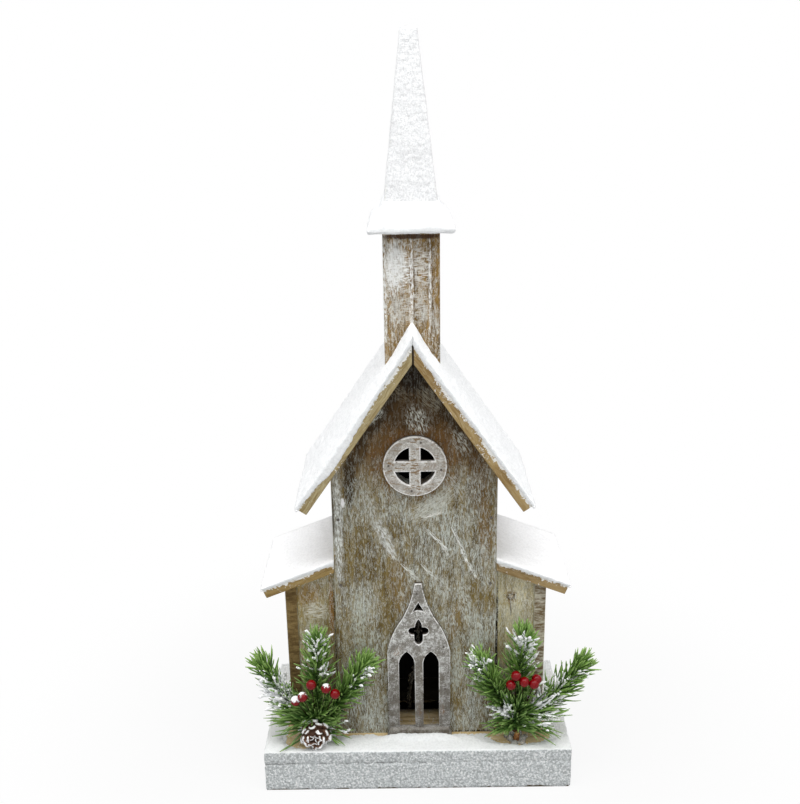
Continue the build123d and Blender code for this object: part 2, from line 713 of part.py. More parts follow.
# Light string: out of the box, up through the floor and up the inside of the front wall
wall_run = wall_inner_front + staple_gap + wire_radius
wire_points = [(box_right, box_y, wire_exit), (wire_first_bend, box_y, wire_exit), *wire_rise]
wire_points += [(x, wall_run, z) for x, z in wire_up_wall]
wire_vectors = [Vector(*point) for point in wire_points]
wire_radii = []
for before, corner, after in zip(wire_vectors, wire_vectors[1:], wire_vectors[2:]):
    shorter = min((corner - before).length, (after - corner).length)
    half_turn = radians((corner - before).get_angle(after - corner)) / 2
    wire_radii.append(wire_bend_share * shorter / tan(half_turn))
print("light wire radii:", [round(radius, 1) for radius in wire_radii])
wire_path = FilletPolyline(*wire_points, radius=wire_radii)
wire_end = Plane(origin=wire_path @ 0, z_dir=wire_path % 0)
wire = sweep(wire_end * Circle(wire_radius), path=wire_path)
print("light wire length:", round(wire_path.length, 1), "volume ratio:",
      round(wire.volume / (Circle(wire_radius).area * wire_path.length), 4))
nodes["light_wire"] = wire
nodes["battery_box"] = case


def bulb(foot, way):
    """A round-ended bulb that stands on the wire."""
    shoulder = foot + way * (bulb_length - bulb_radius)
    return rod(foot, shoulder, bulb_radius) + Pos(*shoulder) * Sphere(bulb_radius)


wire_way = (wire_vectors[-1] - wire_vectors[-2]).normalized()
bulbs = [bulb(wire_vectors[-1] + wire_way * bulb_gap, wire_way)]
for run in bulb_runs:
    middle = (wire_vectors[run] + wire_vectors[run + 1]) * 0.5
    along = (wire_vectors[run + 1] - wire_vectors[run]).normalized()
    away = (Vector(0, 1, 0) - along * along.Y).normalized()
    bulbs.append(bulb(middle + away * (wire_radius + bulb_gap), away))
nodes["led_bulbs"] = Compound(children=bulbs)

staples = []
for run in staple_runs:
    spot = wire_vectors[run] + (wire_vectors[run + 1] - wire_vectors[run]) * staple_share
    reach = wire_radius + staple_gap
    crown = spot.Y + reach
    wide = reach + staple_wire
    bent = block(spot.X - wide, spot.X + wide, wall_inner_front - staple_bite, crown + staple_wire,
                 spot.Z - staple_wire / 2, spot.Z + staple_wire / 2)
    bent -= block(spot.X - reach, spot.X + reach, wall_inner_front - staple_bite, crown,
                  spot.Z - staple_wire / 2, spot.Z + staple_wire / 2)
    staples.append(bent)
    front_wall -= bent
nodes["wire_staples"] = Compound(children=staples)
nodes["nave_front_wall"] = front_wall

for name, part in nodes.items():
    export_step(part, f"parts/{name}.step")
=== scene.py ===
import random
from math import atan2, cos, pi, radians, sin, sqrt, tan

import bmesh
import bpy
from mathutils import Matrix, Vector, noise


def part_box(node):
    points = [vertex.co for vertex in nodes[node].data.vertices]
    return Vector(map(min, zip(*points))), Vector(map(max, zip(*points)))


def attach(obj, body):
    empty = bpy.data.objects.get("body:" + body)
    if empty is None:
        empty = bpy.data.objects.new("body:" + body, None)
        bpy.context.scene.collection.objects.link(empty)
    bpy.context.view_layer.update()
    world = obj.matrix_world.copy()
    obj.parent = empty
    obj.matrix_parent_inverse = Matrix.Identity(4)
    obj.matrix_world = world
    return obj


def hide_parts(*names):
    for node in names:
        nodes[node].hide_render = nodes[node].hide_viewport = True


# A snowy wooden church on a hollow base, in metres. The front is -Y and +Z is up.

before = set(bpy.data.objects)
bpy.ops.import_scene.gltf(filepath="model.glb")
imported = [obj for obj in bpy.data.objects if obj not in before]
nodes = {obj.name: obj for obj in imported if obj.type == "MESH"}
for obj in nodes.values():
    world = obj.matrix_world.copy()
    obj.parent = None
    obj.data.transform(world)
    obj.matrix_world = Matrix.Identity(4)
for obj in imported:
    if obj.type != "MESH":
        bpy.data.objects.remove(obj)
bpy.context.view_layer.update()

# Sizes that the paint, the snow, the picks and the light string follow
base_half_width = 0.126
base_half_depth = 0.064
base_front_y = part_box("base_front_apron")[0].y
base_half_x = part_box("base_apron_right")[1].x
floor_top = 0.036
board_joint = 0.0265
nave_front = -0.038
nave_back = 0.050
nave_side = 0.065
nave_inner_side = 0.0557
aisle_front = -0.031
aisle_side = 0.1065
main_ridge = (0.0, 0.3865)
main_pitch = radians(55.3)
main_slope = 0.158
main_front = -0.062
aisle_ridge = (0.065, 0.1985)
aisle_pitch = radians(21.6)
aisle_slope = 0.0634
roof_back = 0.054
tower_front = -0.028
tower_back = 0.014
tower_side = 0.021
tower_middle = -0.007
door_x = 0.002
trim_thick = 0.004
rosette = (0.0007, 0.2818)
pick_top = 0.050
pick_front = -0.0735
pick_reach = (-0.144, 0.150)
picks = {"left": (-0.084, -0.042), "right": (0.0825, -0.043)}
cone_middle = Vector((-0.085, -0.057, 0.0493))
cone_clear = 0.0128
golden_turn = 2.39996


# Paint shop: shader values, which make the nodes that work them out
def tone(shade, scale=1.0, top=255):
    """A colour as the eye reads it, 0 to 255, in linear values."""
    parts = []
    for part in shade:
        part = min(top, part * scale) / 255
        parts.append(part / 12.92 if part <= 0.04045 else ((part + 0.055) / 1.055) ** 2.4)
    return (*parts, 1.0)


def feed(socket, value):
    """Links a socket to a wire, or sets its value. A colour of three parts is one as the eye reads it."""
    if isinstance(value, Wire):
        socket.id_data.links.new(value.socket, socket)
    elif socket.type == "RGBA" and len(value) == 3:
        socket.default_value = tone(value)
    else:
        socket.default_value = value


class Wire:
    """A value in a shader. Sums and products of wires make nodes, and | takes the larger of two."""

    def __init__(self, socket):
        self.socket = socket

    def node(self, kind, inputs=None, out=0, **settings):
        """A new node of the same shader, by one of its outputs."""
        made = self.socket.id_data.nodes.new("ShaderNode" + kind)
        for key, value in settings.items():
            setattr(made, key, value)
        for key, value in (inputs or {}).items():
            feed(made.inputs[key], value)
        return Wire(made.outputs[out])

    def math(self, operation, other=0.5):
        return self.node("Math", {0: self, 1: other}, operation=operation)

    def __add__(self, other):
        return self.math("ADD", other)

    def __sub__(self, other):
        return self.math("SUBTRACT", other)

    def __mul__(self, other):
        return self.math("MULTIPLY", other)

    def __or__(self, other):
        return self.math("MAXIMUM", other)

    def __abs__(self):
        return self.math("ABSOLUTE")

    def inverse(self):
        return self.node("Math", {0: 1.0, 1: self}, operation="DIVIDE")

    def limited(self):
        """The value, held between 0 and 1."""
        return self.node("Clamp", {0: self})

    def rise(self, low, high, start=0.0, end=1.0):
        """A soft step from start to end between two levels."""
        levels = {"Value": self, "From Min": low, "From Max": high, "To Min": start, "To Max": end}
        return self.node("MapRange", levels, interpolation_type="SMOOTHSTEP")

    def vector(self, operation, other):
        """A step on two vectors."""
        return self.node("VectorMath", {0: self, 1: other}, operation=operation)

    def length(self):
        return self.node("VectorMath", {0: self}, "Value", operation="LENGTH")

    def parts(self):
        """The x, y and z of a vector."""
        return [Wire(out) for out in self.node("SeparateXYZ", {0: self}).socket.node.outputs]

    def laid(self, turn=(0, 0, 0), stretch=(1, 1, 1)):
        """Coordinates turned, so that a board's grain runs along Z, and stretched."""
        return self.node("Mapping", {"Vector": self, "Rotation": turn, "Scale": stretch})

    def grit(self, size, detail=3.0, rough=0.6, out="Fac", twist=0.0):
        """Noise with grains of a given size."""
        scale = size.inverse() if isinstance(size, Wire) else 1 / size
        return self.node("TexNoise", {"Vector": self, "Scale": scale, "Detail": detail, "Roughness": rough,
                                      "Distortion": twist}, out)

    def strayed(self, size, detail, reach, rough=0.6, source=None):
        """Coordinates moved about by noise."""
        stray = (source or self).grit(size, detail, rough, "Color").vector("SUBTRACT", (0.5, 0.5, 0.5))
        return self.vector("ADD", stray.vector("MULTIPLY", (reach, reach, reach)))

    def facing(self):
        """The surface's own direction, as x, y and z."""
        return self.node("TexCoord", out="Normal").parts()

    def layer(self, name):
        """A value that is stored on the mesh."""
        return self.node("Attribute", out="Fac", attribute_name=name)


def mixed(share, first, second):
    """One colour over another, by a mask."""
    return share.node("Mix", {0: share, 6: first, 7: second}, 2, data_type="RGBA")


def effect(*labels):
    """Makes a function of wires into a shared node group. A call of the function then places it in a shader."""
    def grouped(make):
        tree = bpy.data.node_groups.new(make.__name__, "ShaderNodeTree")
        for label in labels:
            kind = "Vector" if label in ("place", "middle") else "Float"
            tree.interface.new_socket(label, in_out="INPUT", socket_type="NodeSocket" + kind)
        takes = tree.nodes.new("NodeGroupInput").outputs
        gives = make(*[Wire(takes[label]) for label in labels])
        for label in gives:
            tree.interface.new_socket(label, in_out="OUTPUT", socket_type="NodeSocketFloat")
        ends = tree.nodes.new("NodeGroupOutput").inputs
        for label, value in gives.items():
            feed(ends[label], value)

        def placed(*values):
            made = values[0].socket.id_data.nodes.new("ShaderNodeGroup")
            made.node_tree = tree
            for label, value in zip(labels, values):
                feed(made.inputs[label], value)
            return {label: Wire(made.outputs[label]) for label in gives}
        return placed
    return grouped


@effect("place", "width")
def board_grain(place, width):
    """Rings and fibres of a sawn softwood board, with the grain along Z."""
    moved = place.strayed(0.035, 2.0, 0.009)
    return {"Rings": moved.laid(stretch=(1, 1, 0.055)).grit(width, 4.0, 0.55),
            "Fibre": moved.laid(stretch=(1, 1, 0.04)).grit(width * (1 / 6), 3.0, 0.7)}


@effect("place", "width", "length", "cover")
def dry_brush(place, width, length, cover):
    """Broken streaks of whitewash left by a nearly dry brush along the grain."""
    narrow = width.inverse()
    size = place.node("CombineXYZ", {0: narrow, 1: narrow, 2: length.inverse()})
    bristles = place.strayed(0.012, 2.0, 0.0045).vector("MULTIPLY", size).grit(1.0)
    level = cover.node("MapRange", {"Value": cover, "To Min": 0.78, "To Max": 0.30})
    return {"Mask": bristles.rise(level, level + 0.08)}


@effect("place", "middle", "half length", "half width", "turn")
def brush_patch(place, middle, half_length, half_width, turn):
    """One dab of paint or stain on a front: its area, the bristle marks along its turned X, and broken flecks."""
    moved = place.vector("SUBTRACT", middle)
    turned = moved.node("VectorRotate", {"Vector": moved, "Angle": turn}, rotation_type="Y_AXIS")
    size = place.node("CombineXYZ", {0: half_length.inverse(), 1: 0.0, 2: half_width.inverse()})
    spread = turned.vector("MULTIPLY", size).strayed(0.006, 5.0, 1.3, 0.7, moved)
    mask = spread.vector("MULTIPLY", (1, 0, 1)).length().rise(1.0, 0.45)
    bristles = turned.laid(stretch=(170, 0, 1150)).grit(1.0, 3.0, 0.5)
    flecks = turned.laid(stretch=(260, 0, 1000)).grit(1.0, 3.0, 0.5, twist=0.6)
    return {"Mask": mask, "Stroke": mask * bristles.rise(0.44, 0.56), "Dabs": mask * flecks.rise(0.44, 0.60)}


@effect("place", "size")
def flock(place, size):
    """Fluffy snow flock: the height of its tufts."""
    cells = place.node("TexVoronoi", {"Vector": place, "Scale": size.inverse()}, "Distance")
    return {"Height": (place.grit(size, 4.0, 0.75) - cells * 0.25).limited()}


@effect("place", "cover", "size")
def settled_snow(place, cover, size):
    """Snow dust that lies on what faces up."""
    heap = place.facing()[2] * 0.45 + place.grit(size, 4.0, 0.7) + cover
    return {"Mask": heap.rise(1.0, 1.12)}


@effect("place", "width")
def furrows(place, width):
    """Wavy saw furrows along Z: thin dark lines, each with a pale band on one side that is partly whitewash and partly
    a painted highlight.
    """
    off = place.strayed(0.011, 3.0, 0.006).laid(stretch=(1, 1, 0.17)).grit(width) - 0.5
    return {"Dark": abs(off).rise(0.026, 0.006), "Crest_wash_and_highlight": off.rise(0.016, 0.036) * off.rise(0.13, 0.08)}


def bare_tree(owner):
    """The empty node tree of a material or a world."""
    owner.use_nodes = True
    owner.node_tree.nodes.clear()
    return owner.node_tree


def new_finish(name, **plain):
    """A material with a plain shader, and the object's own coordinates."""
    made = bpy.data.materials.new(name)
    tree = bare_tree(made)
    shader = tree.nodes.new("ShaderNodeBsdfPrincipled")
    shader.name = "shader"
    tree.links.new(shader.outputs[0], tree.nodes.new("ShaderNodeOutputMaterial").inputs["Surface"])
    for key, value in plain.items():
        shader.inputs[key.replace("_", " ")].default_value = value
    return made, Wire(tree.nodes.new("ShaderNodeTexCoord").outputs["Object"])


def lay_on(made, colour, rough, height, depth):
    """Gives a material its colour, roughness and relief."""
    ends = made.node_tree.nodes["shader"].inputs
    feed(ends["Base Color"], colour)
    feed(ends["Roughness"], rough)
    feed(ends["Normal"], colour.node("Bump", {"Height": height, "Strength": 0.8, "Distance": depth}))
    return made


def dabbed(colour, place, face, dabs):
    """Lays dabs over a colour: x, z, half length and half width in mm, turn, shade, strength and kind of mark."""
    for *spot, turn, shade, strength, kind in dabs:
        x, z, half_length, half_width = [size / 1000 for size in spot]
        dab = brush_patch(place, (x, face, z), half_length, half_width, radians(turn))
        colour = mixed(dab[kind] * strength, colour, shade)
    return colour


def stained_wood(name, shades, wash, cover, face=0.0, stains_and_shadows=(), strokes_and_shadows=(), film=0.35, worn=0.0, crackle=0.0,
                 inside=None, shaded_top=None, ends=None, bristle=(0.0008, 0.0042)):
    """A stained board with whitewash brushed along its furrowed grain and its own dabs of stain and whitewash, some of
    them painted shadow; painted shade under an overhang and on inner faces, and a painted highlight on one side of each
    furrow.
    """
    made, place = new_finish(name, Specular_IOR_Level=0.18)
    dark, middle, light = shades
    x, _, z = place.parts()
    grain = board_grain(place, 0.0042)
    colour = mixed(grain["Rings"].rise(0.36, 0.62), dark, middle)
    colour = mixed(grain["Fibre"].rise(0.50, 0.70, 0.0, 0.8), colour, light)
    cloud = place.laid(stretch=(1, 1, 0.6)).grit(0.026, 4.0)
    veil = cloud.rise(0.34, 0.66, 0.0, film) * grain["Fibre"].rise(0.30, 0.62)
    amount = cloud.rise(0.30, 0.70, cover - 0.10, cover + 0.10)
    strength = cloud.rise(0.30, 0.66, 0.50, 0.92)
    # At the top of the front, under the roof's overhang: less whitewash and a warm brown glaze, partly stain and partly
    # painted shade of the overhang
    if shaded_top is not None:
        clear = z.rise(*shaded_top, 1.0, 0.05)
        veil *= clear
        amount *= clear.rise(0.0, 1.0, 0.5, 1.0)
        strength *= clear.rise(0.0, 1.0, 0.35, 1.0)
        colour = mixed(clear.rise(0.0, 1.0, 0.6, 0.0), colour, (122, 82, 40))
    colour = dabbed(mixed(veil, colour, wash), place, face, stains_and_shadows)
    brushed = dry_brush(place, *bristle, amount)["Mask"] * strength
    if crackle:
        lines = place.laid(stretch=(0.16, 1, 1)).grit(0.0011)
        brushed *= lines.rise(0.46, 0.56, 1.0, 1.0 - crackle)
    paint = mixed(place.grit(0.0022), tone(wash, 0.84), tone(wash, 1.12))
    colour = mixed(brushed * 0.8, colour, paint)
    sawn = furrows(place, 0.0015)
    # A pale band on one side of each furrow: whitewash caught there and a painted highlight
    crest_wash_and_highlight = sawn["Crest_wash_and_highlight"] * (strength * 0.5)
    colour = mixed(crest_wash_and_highlight, colour, paint)
    colour = mixed(sawn["Dark"] * 0.5, colour, tone(dark, 0.55))
    colour = dabbed(colour, place, face, strokes_and_shadows)
    if ends is not None:
        end = abs(x).rise(aisle_side - 0.0097, aisle_side - 0.0094) * (place.facing()[1] * -1.0).rise(0.5, 0.9)
        bars = place.laid(stretch=(0.30, 1, 1)).grit(0.0030, 5.0, 0.75)
        colour = mixed(end, colour, mixed(bars.rise(0.40, 0.62), *ends))
    if worn:
        sides = abs(place.facing()[1]).rise(0.96, 0.80, 0.0, worn)
        colour = mixed(sides * cloud.rise(0.35, 0.55), colour, wash)
    # Inner faces are painted near black: painted shade inside the church
    if inside is not None:
        colour = mixed(inside(place), colour, (16, 12, 8))
    relief = (crest_wash_and_highlight * 0.6 + grain["Fibre"] * 0.4 - sawn["Dark"] * 0.3).limited()
    return lay_on(made, colour, grain["Rings"].rise(0.3, 0.7, 0.85, 0.68), relief, 0.0006)


def shaded_behind_front(place):
    """The front wall's inner face, which is painted near black as painted shade."""
    return place.parts()[1].rise(-0.0288, -0.0286)


def shaded_within_nave(place):
    """The inner faces of the nave's side and back walls, which are painted near black as painted shade."""
    x, y, _ = place.parts()
    return abs(x).rise(nave_inner_side, nave_inner_side - 0.0001) * y.rise(0.0407, 0.0406)


# Stains, whitewash marks and painted shadows, in mm from the frame's middle and its floor
front_stains_and_shadows = [
    # The next five dabs, dark at the top of the front under the ridge and along the rakes, are partly real stain and
    # partly painted shadow of the roof's overhang
    (0, 318, 66, 46, 0, (88, 64, 32), 0.55, "Mask"),
    (0, 364, 38, 34, -90, (28, 18, 8), 0.97, "Mask"),
    (-26, 326, 50, 11, -125, (40, 28, 12), 0.85, "Mask"),
    (29, 324, 50, 11, -55, (46, 33, 15), 0.8, "Mask"),
    (0, 324, 42, 22, 0, (62, 44, 20), 0.7, "Mask"),
    (44, 292, 24, 12, -60, (76, 54, 26), 0.65, "Mask"),
    (-50.5, 270, 32, 6.5, -92, (44, 30, 15), 0.85, "Mask"),
    (-42, 292, 18, 9, -110, (58, 41, 19), 0.7, "Mask"),
    (0.7, 281.8, 41, 38, 0, (122, 82, 34), 0.7, "Mask"),
    (50, 262, 30, 11, 90, (104, 78, 42), 0.6, "Mask"),
    (56, 226, 36, 8, 90, (128, 96, 52), 0.5, "Mask"),
    (-12, 172, 40, 12, 100, (122, 96, 54), 0.5, "Mask"),
    (30, 140, 40, 8, 70, (120, 96, 56), 0.4, "Mask"),
    (-34, 100, 60, 12, 90, (118, 104, 64), 0.4, "Mask"),
    # Painted shadow in the gap at the foot of the front wall, right of the door
    (46, 37, 24, 1, 0, (34, 22, 12), 1, "Mask"),
]
front_strokes = [
    (-60.5, 232, 68, 5.6, -90, (176, 177, 170), 0.45, "Mask"),
    (-30, 323, 13, 7, -130, (204, 208, 200), 1, "Dabs"),
    (3, 318, 15, 11, -75, (204, 206, 197), 1, "Dabs"),
    (12, 336, 14, 9, -48, (184, 180, 160), 0.45, "Stroke"),
    (-10, 340, 12, 7, -40, (168, 160, 138), 0.35, "Dabs"),
    (36, 300, 14, 8, -62, (194, 196, 186), 0.8, "Dabs"),
    (14, 246, 24, 10, 38, (178, 180, 168), 0.3, "Mask"),
    (18, 250, 28, 10, 40, (196, 198, 188), 0.6, "Stroke"),
    (10, 244, 22, 11, 32, (202, 204, 195), 0.8, "Dabs"),
    (14, 239, 12, 1.6, 14, (232, 232, 226), 0.95, "Stroke"),
    (31, 264, 18, 9, -62, (192, 193, 184), 0.7, "Dabs"),
    (-24, 221, 24, 7.2, -66, (186, 188, 180), 0.3, "Mask"),
    (-24, 220, 22, 6, -66, (214, 216, 212), 1, "Dabs"),
    (-20, 208, 12, 4.5, -62, (222, 224, 219), 0.85, "Dabs"),
    (-35, 246, 22, 7, -80, (196, 198, 190), 0.7, "Dabs"),
    (17.2, 218, 17, 1.9, -47, (232, 234, 229), 1, "Stroke"),
    (23.5, 209, 8, 2.2, -56, (226, 228, 224), 0.9, "Dabs"),
    (32.5, 221, 12, 1.7, -66, (232, 234, 230), 0.95, "Stroke"),
    (38.5, 205, 14, 2.6, -68, (236, 238, 234), 1, "Dabs"),
    (45.5, 190, 12, 2.2, -62, (228, 230, 225), 0.9, "Dabs"),
    (-6, 191, 12, 1.8, -44, (226, 228, 221), 1, "Stroke"),
    (10, 190, 12, 1.8, -48, (226, 228, 221), 1, "Stroke"),
    (0, 183, 10, 1.4, -40, (214, 216, 208), 0.8, "Stroke"),
    (-60.5, 232, 64, 4.6, -90, (222, 225, 221), 1, "Dabs"),
    (-64.1, 240, 24, 1.1, -90, (56, 44, 28), 0.8, "Mask"),
    (63.5, 215, 50, 1.6, -90, (206, 208, 204), 0.7, "Dabs"),
    (-56.2, 250.4, 5.2, 2, -88, (250, 250, 250), 1, "Mask"),
    (-56.2, 250.4, 5.2, 2, -88, (250, 250, 250), 1, "Mask"),
    (40, 160, 30, 7, -80, (192, 196, 186), 0.9, "Dabs"),
    (22, 176, 14, 6, -60, (196, 198, 190), 0.7, "Dabs"),
    (50, 120, 40, 7, -88, (192, 196, 186), 0.85, "Dabs"),
    (33, 100, 34, 5, -92, (188, 192, 180), 0.8, "Dabs"),
    (-46, 140, 40, 8, -88, (188, 193, 180), 0.75, "Dabs"),
]
aisle_knots_and_shadows = [
    (78.4, 161, 8, 5, 80, (118, 90, 50), 0.7, "Mask"),
    (78.4, 161, 4.2, 3.4, 20, (58, 40, 22), 1, "Mask"),
    (78.4, 161.2, 2.2, 1.7, 20, (178, 152, 112), 1, "Mask"),
    (78, 150, 8.5, 0.9, 92, (70, 50, 28), 0.9, "Mask"),
    # Painted shadow in the gap between the right aisle's front and the nave's wall
    (66.8, 112, 90, 1.3, 90, (30, 20, 12), 1, "Mask"),
    (92, 130, 40, 6, 90, (128, 102, 62), 0.4, "Mask"),
    (-88, 166, 16, 12, 20, (142, 106, 48), 0.6, "Mask"),
    (-69, 150, 40, 2.6, 90, (148, 104, 48), 0.75, "Mask"),
    # Painted shadow in the same gap on the left
    (-66.8, 112, 90, 0.8, 90, (60, 44, 26), 0.7, "Mask"),
]
aisle_rubs = [
    (71.2, 150, 6, 0.6, -58, (226, 224, 212), 0.9, "Stroke"),
    (-82, 150, 12, 10, 0, (224, 222, 209), 0.9, "Stroke"),
    (-84, 128, 14, 14, 4, (218, 216, 203), 0.8, "Stroke"),
    (82, 140, 12, 14, 0, (204, 200, 180), 0.5, "Stroke"),
]
tower_strokes_and_shadow = [
    (-11.5, 434, 21, 10, 90, (226, 227, 223), 0.6, "Mask"),
    (-12, 436, 20, 9.5, 90, (238, 239, 236), 1, "Stroke"),
    (-10, 432, 13, 20, 0, (244, 245, 243), 1, "Dabs"),
    (-12, 446, 12, 10, 90, (234, 235, 232), 0.9, "Dabs"),
    (-13.5, 424, 16, 7, 90, (234, 235, 232), 0.9, "Dabs"),
    (7.5, 434, 10, 20, 0, (226, 225, 219), 0.8, "Stroke"),
    (0, 404, 20, 16, 4, (216, 215, 207), 0.6, "Stroke"),
    (-0.2, 422, 48, 2.3, 90, (240, 240, 238), 1, "Dabs"),
    (1.8, 422, 48, 0.8, 90, (84, 62, 36), 0.8, "Stroke"),
    (13.5, 422, 48, 1.4, 90, (236, 236, 233), 1, "Dabs"),
    (15.3, 422, 48, 0.7, 90, (84, 62, 36), 0.7, "Stroke"),
    (-19.8, 415, 55, 2, 90, (232, 233, 230), 1, "Dabs"),
    (-12, 400, 18, 6, 85, (214, 213, 206), 0.8, "Dabs"),
    (8, 405, 20, 5, 95, (206, 205, 198), 0.6, "Stroke"),
    (17, 395, 14, 4, 90, (206, 206, 200), 0.6, "Stroke"),
    # Painted shadow under the cap board
    (0, 456.6, 32, 2.4, 0, (66, 44, 30), 0.9, "Mask"),
]
rosette_rubs = [
    (-16, 300, 7, 3, 40, (150, 128, 108), 0.7, "Dabs"),
    (16, 284, 6, 4, 70, (140, 124, 110), 0.6, "Dabs"),
    (-18, 270, 6, 3, 20, (150, 128, 108), 0.6, "Dabs"),
    (14, 262, 7, 3, 0, (140, 124, 110), 0.5, "Dabs"),
]
door_rubs = [
    (10, 123.5, 8, 6, 0, (206, 208, 208), 0.7, "Dabs"),
    (-4, 122, 9, 5, 30, (196, 197, 197), 0.6, "Dabs"),
    (-15, 118, 6, 4, 60, (150, 122, 100), 0.5, "Dabs"),
    (21.5, 61, 7, 2.8, 90, (150, 116, 88), 0.8, "Dabs"),
    (2, 60, 7, 2.6, 90, (138, 108, 84), 0.8, "Dabs"),
]


def near_band(dabs, low, high):
    """The dabs that reach into a band of heights."""
    near = []
    for dab in dabs:
        _, z, half_length, half_width, turn = dab[:5]
        reach = 1.5 * (abs(half_length * sin(radians(turn))) + abs(half_width * cos(radians(turn))))
        if z + reach > low * 1000 and z - reach < high * 1000:
            near.append(dab)
    return near


# The front's finish is split by height, because one shader holds only so many dabs
wall_shades = ((91, 74, 38), (125, 108, 64), (151, 138, 96))
front_cuts = (0.172, 0.204, 0.228, 0.262, 0.302)
front_finishes = []
for number, band in enumerate(zip((0.0, *front_cuts), (*front_cuts, 1.0))):
    front_finishes.append(stained_wood(
        f"stained_front_{number}", wall_shades, (207, 213, 206), 0.54, nave_front, near_band(front_stains_and_shadows, *band),
        near_band(front_strokes, *band), worn=0.7, inside=shaded_behind_front, shaded_top=(0.235, 0.325), bristle=(0.0009, 0.0068)))
stained_wall = stained_wood("stained_wall", wall_shades, (186, 187, 178), 0.44, inside=shaded_within_nave)
aisle_looks = {"left": (((130, 112, 62), (166, 147, 94), (190, 176, 130)), ((98, 78, 44), (138, 116, 74))),
               "right": (((162, 146, 98), (200, 186, 137), (218, 209, 170)), ((116, 98, 70), (200, 194, 176)))}
aisle_finishes = {}
for aisle, (shades, ends) in aisle_looks.items():
    aisle_finishes[aisle] = stained_wood("stained_aisle_" + aisle, shades, (230, 232, 219), 0.49, aisle_front,
                                         aisle_knots_and_shadows, aisle_rubs, worn=0.35, crackle=0.5, ends=ends)
tower_shades = ((104, 79, 37), (143, 113, 61), (169, 141, 91))
tower_bristle = (0.0017, 0.0040)
stained_tower = stained_wood("stained_tower", tower_shades, (226, 229, 223), 0.47, tower_front, strokes_and_shadows=tower_strokes_and_shadow,
                             film=0.12, worn=0.5, crackle=0.6, bristle=tower_bristle)
plain_tower = stained_wood("plain_tower", tower_shades, (220, 221, 215), 0.56, film=0.2, crackle=0.6,
                           bristle=tower_bristle)


def sawn_roof(name, side, ridge, pitch, shades):
    """A pale sawn roof board, its grain down the slope, with white paint caught along its upper edge."""
    made, place = new_finish(name, Specular_IOR_Level=0.25)
    grain = board_grain(place.laid((0, side * (radians(90) - pitch), 0)), 0.004)
    dark, middle, light = shades
    colour = mixed(grain["Rings"].rise(0.36, 0.62), dark, middle)
    colour = mixed(grain["Fibre"].rise(0.46, 0.68, 0.0, 0.6), colour, light)
    colour = mixed(grain["Fibre"].rise(0.40, 0.26, 0.0, 0.6), colour, tone(dark, 0.66))
    x, _, z = place.parts()
    top = ridge[0] * sin(pitch) + ridge[1] * cos(pitch)
    caught = (abs(x) * sin(pitch) + z * cos(pitch) - top).rise(-0.0055, 0.0, 0.0, 0.34)
    heap = place.grit(0.0024, 4.0, 0.7) + caught + place.grit(0.018, 2.0).rise(0.40, 0.66, 0.0, 0.14)
    colour = mixed(heap.rise(0.69, 0.77), colour, (228, 228, 224))
    colour = mixed(abs(x).rise(0.0011, 0.0005), colour, (38, 24, 13))
    return lay_on(made, colour, 0.8, grain["Fibre"], 0.0003)


roof_shades = {"main_left": ((140, 122, 82), (176, 162, 122), (196, 188, 156)),
               "main_right": ((130, 104, 62), (166, 142, 96), (184, 168, 130)),
               "aisle_left": ((112, 90, 48), (148, 124, 76), (170, 150, 104)),
               "aisle_right": ((118, 96, 60), (156, 132, 90), (176, 158, 120))}
roof_finishes = {}
for board, shades in roof_shades.items():
    slope = (main_ridge, main_pitch) if board.startswith("main") else (aisle_ridge, aisle_pitch)
    roof_finishes[board] = sawn_roof("sawn_roof_" + board, -1 if board.endswith("left") else 1, *slope, shades)


def bare_base_wood():
    """Rough golden softwood with the grain along X, darker at its foot, and painted near black inside the church as
    painted shade.
    """
    made, place = new_finish("bare_base_wood", Specular_IOR_Level=0.25)
    grain = board_grain(place.laid((0, radians(90), 0)), 0.004)
    colour = mixed(grain["Rings"].rise(0.34, 0.62), (184, 158, 110), (222, 200, 154))
    colour = mixed(grain["Fibre"].rise(0.42, 0.30, 0.0, 0.7), colour, (112, 80, 40))
    x, y, z = place.parts()
    up = place.facing()[2]
    dust = place.grit(0.0016, 4.0, 0.75).rise(0.53, 0.62) * place.grit(0.012, 2.0).rise(0.38, 0.60)
    colour = mixed(dust * up.rise(0.2, 0.6), colour, (236, 234, 228))
    not_under = up.rise(-0.6, -0.2)
    # Darker along the foot of the outer faces
    rim = (abs(x).rise(base_half_x - 0.0012, base_half_x - 0.0006)
           | y.rise(base_front_y + 0.0012, base_front_y + 0.0006))
    colour = mixed(rim * not_under * z.rise(0.0055, 0.0030, 0.0, 0.9), colour, (58, 46, 34))
    # The floor inside the church is painted near black, but for a strip behind the door: painted shade
    room_shade = abs(x).rise(nave_inner_side, nave_inner_side - 0.0002) * y.rise(-0.015, -0.004) * y.rise(0.0480, 0.0470)
    colour = mixed(room_shade * not_under * 0.97, colour, (14, 10, 7))
    return lay_on(made, colour, 0.82, grain["Fibre"], 0.0004)


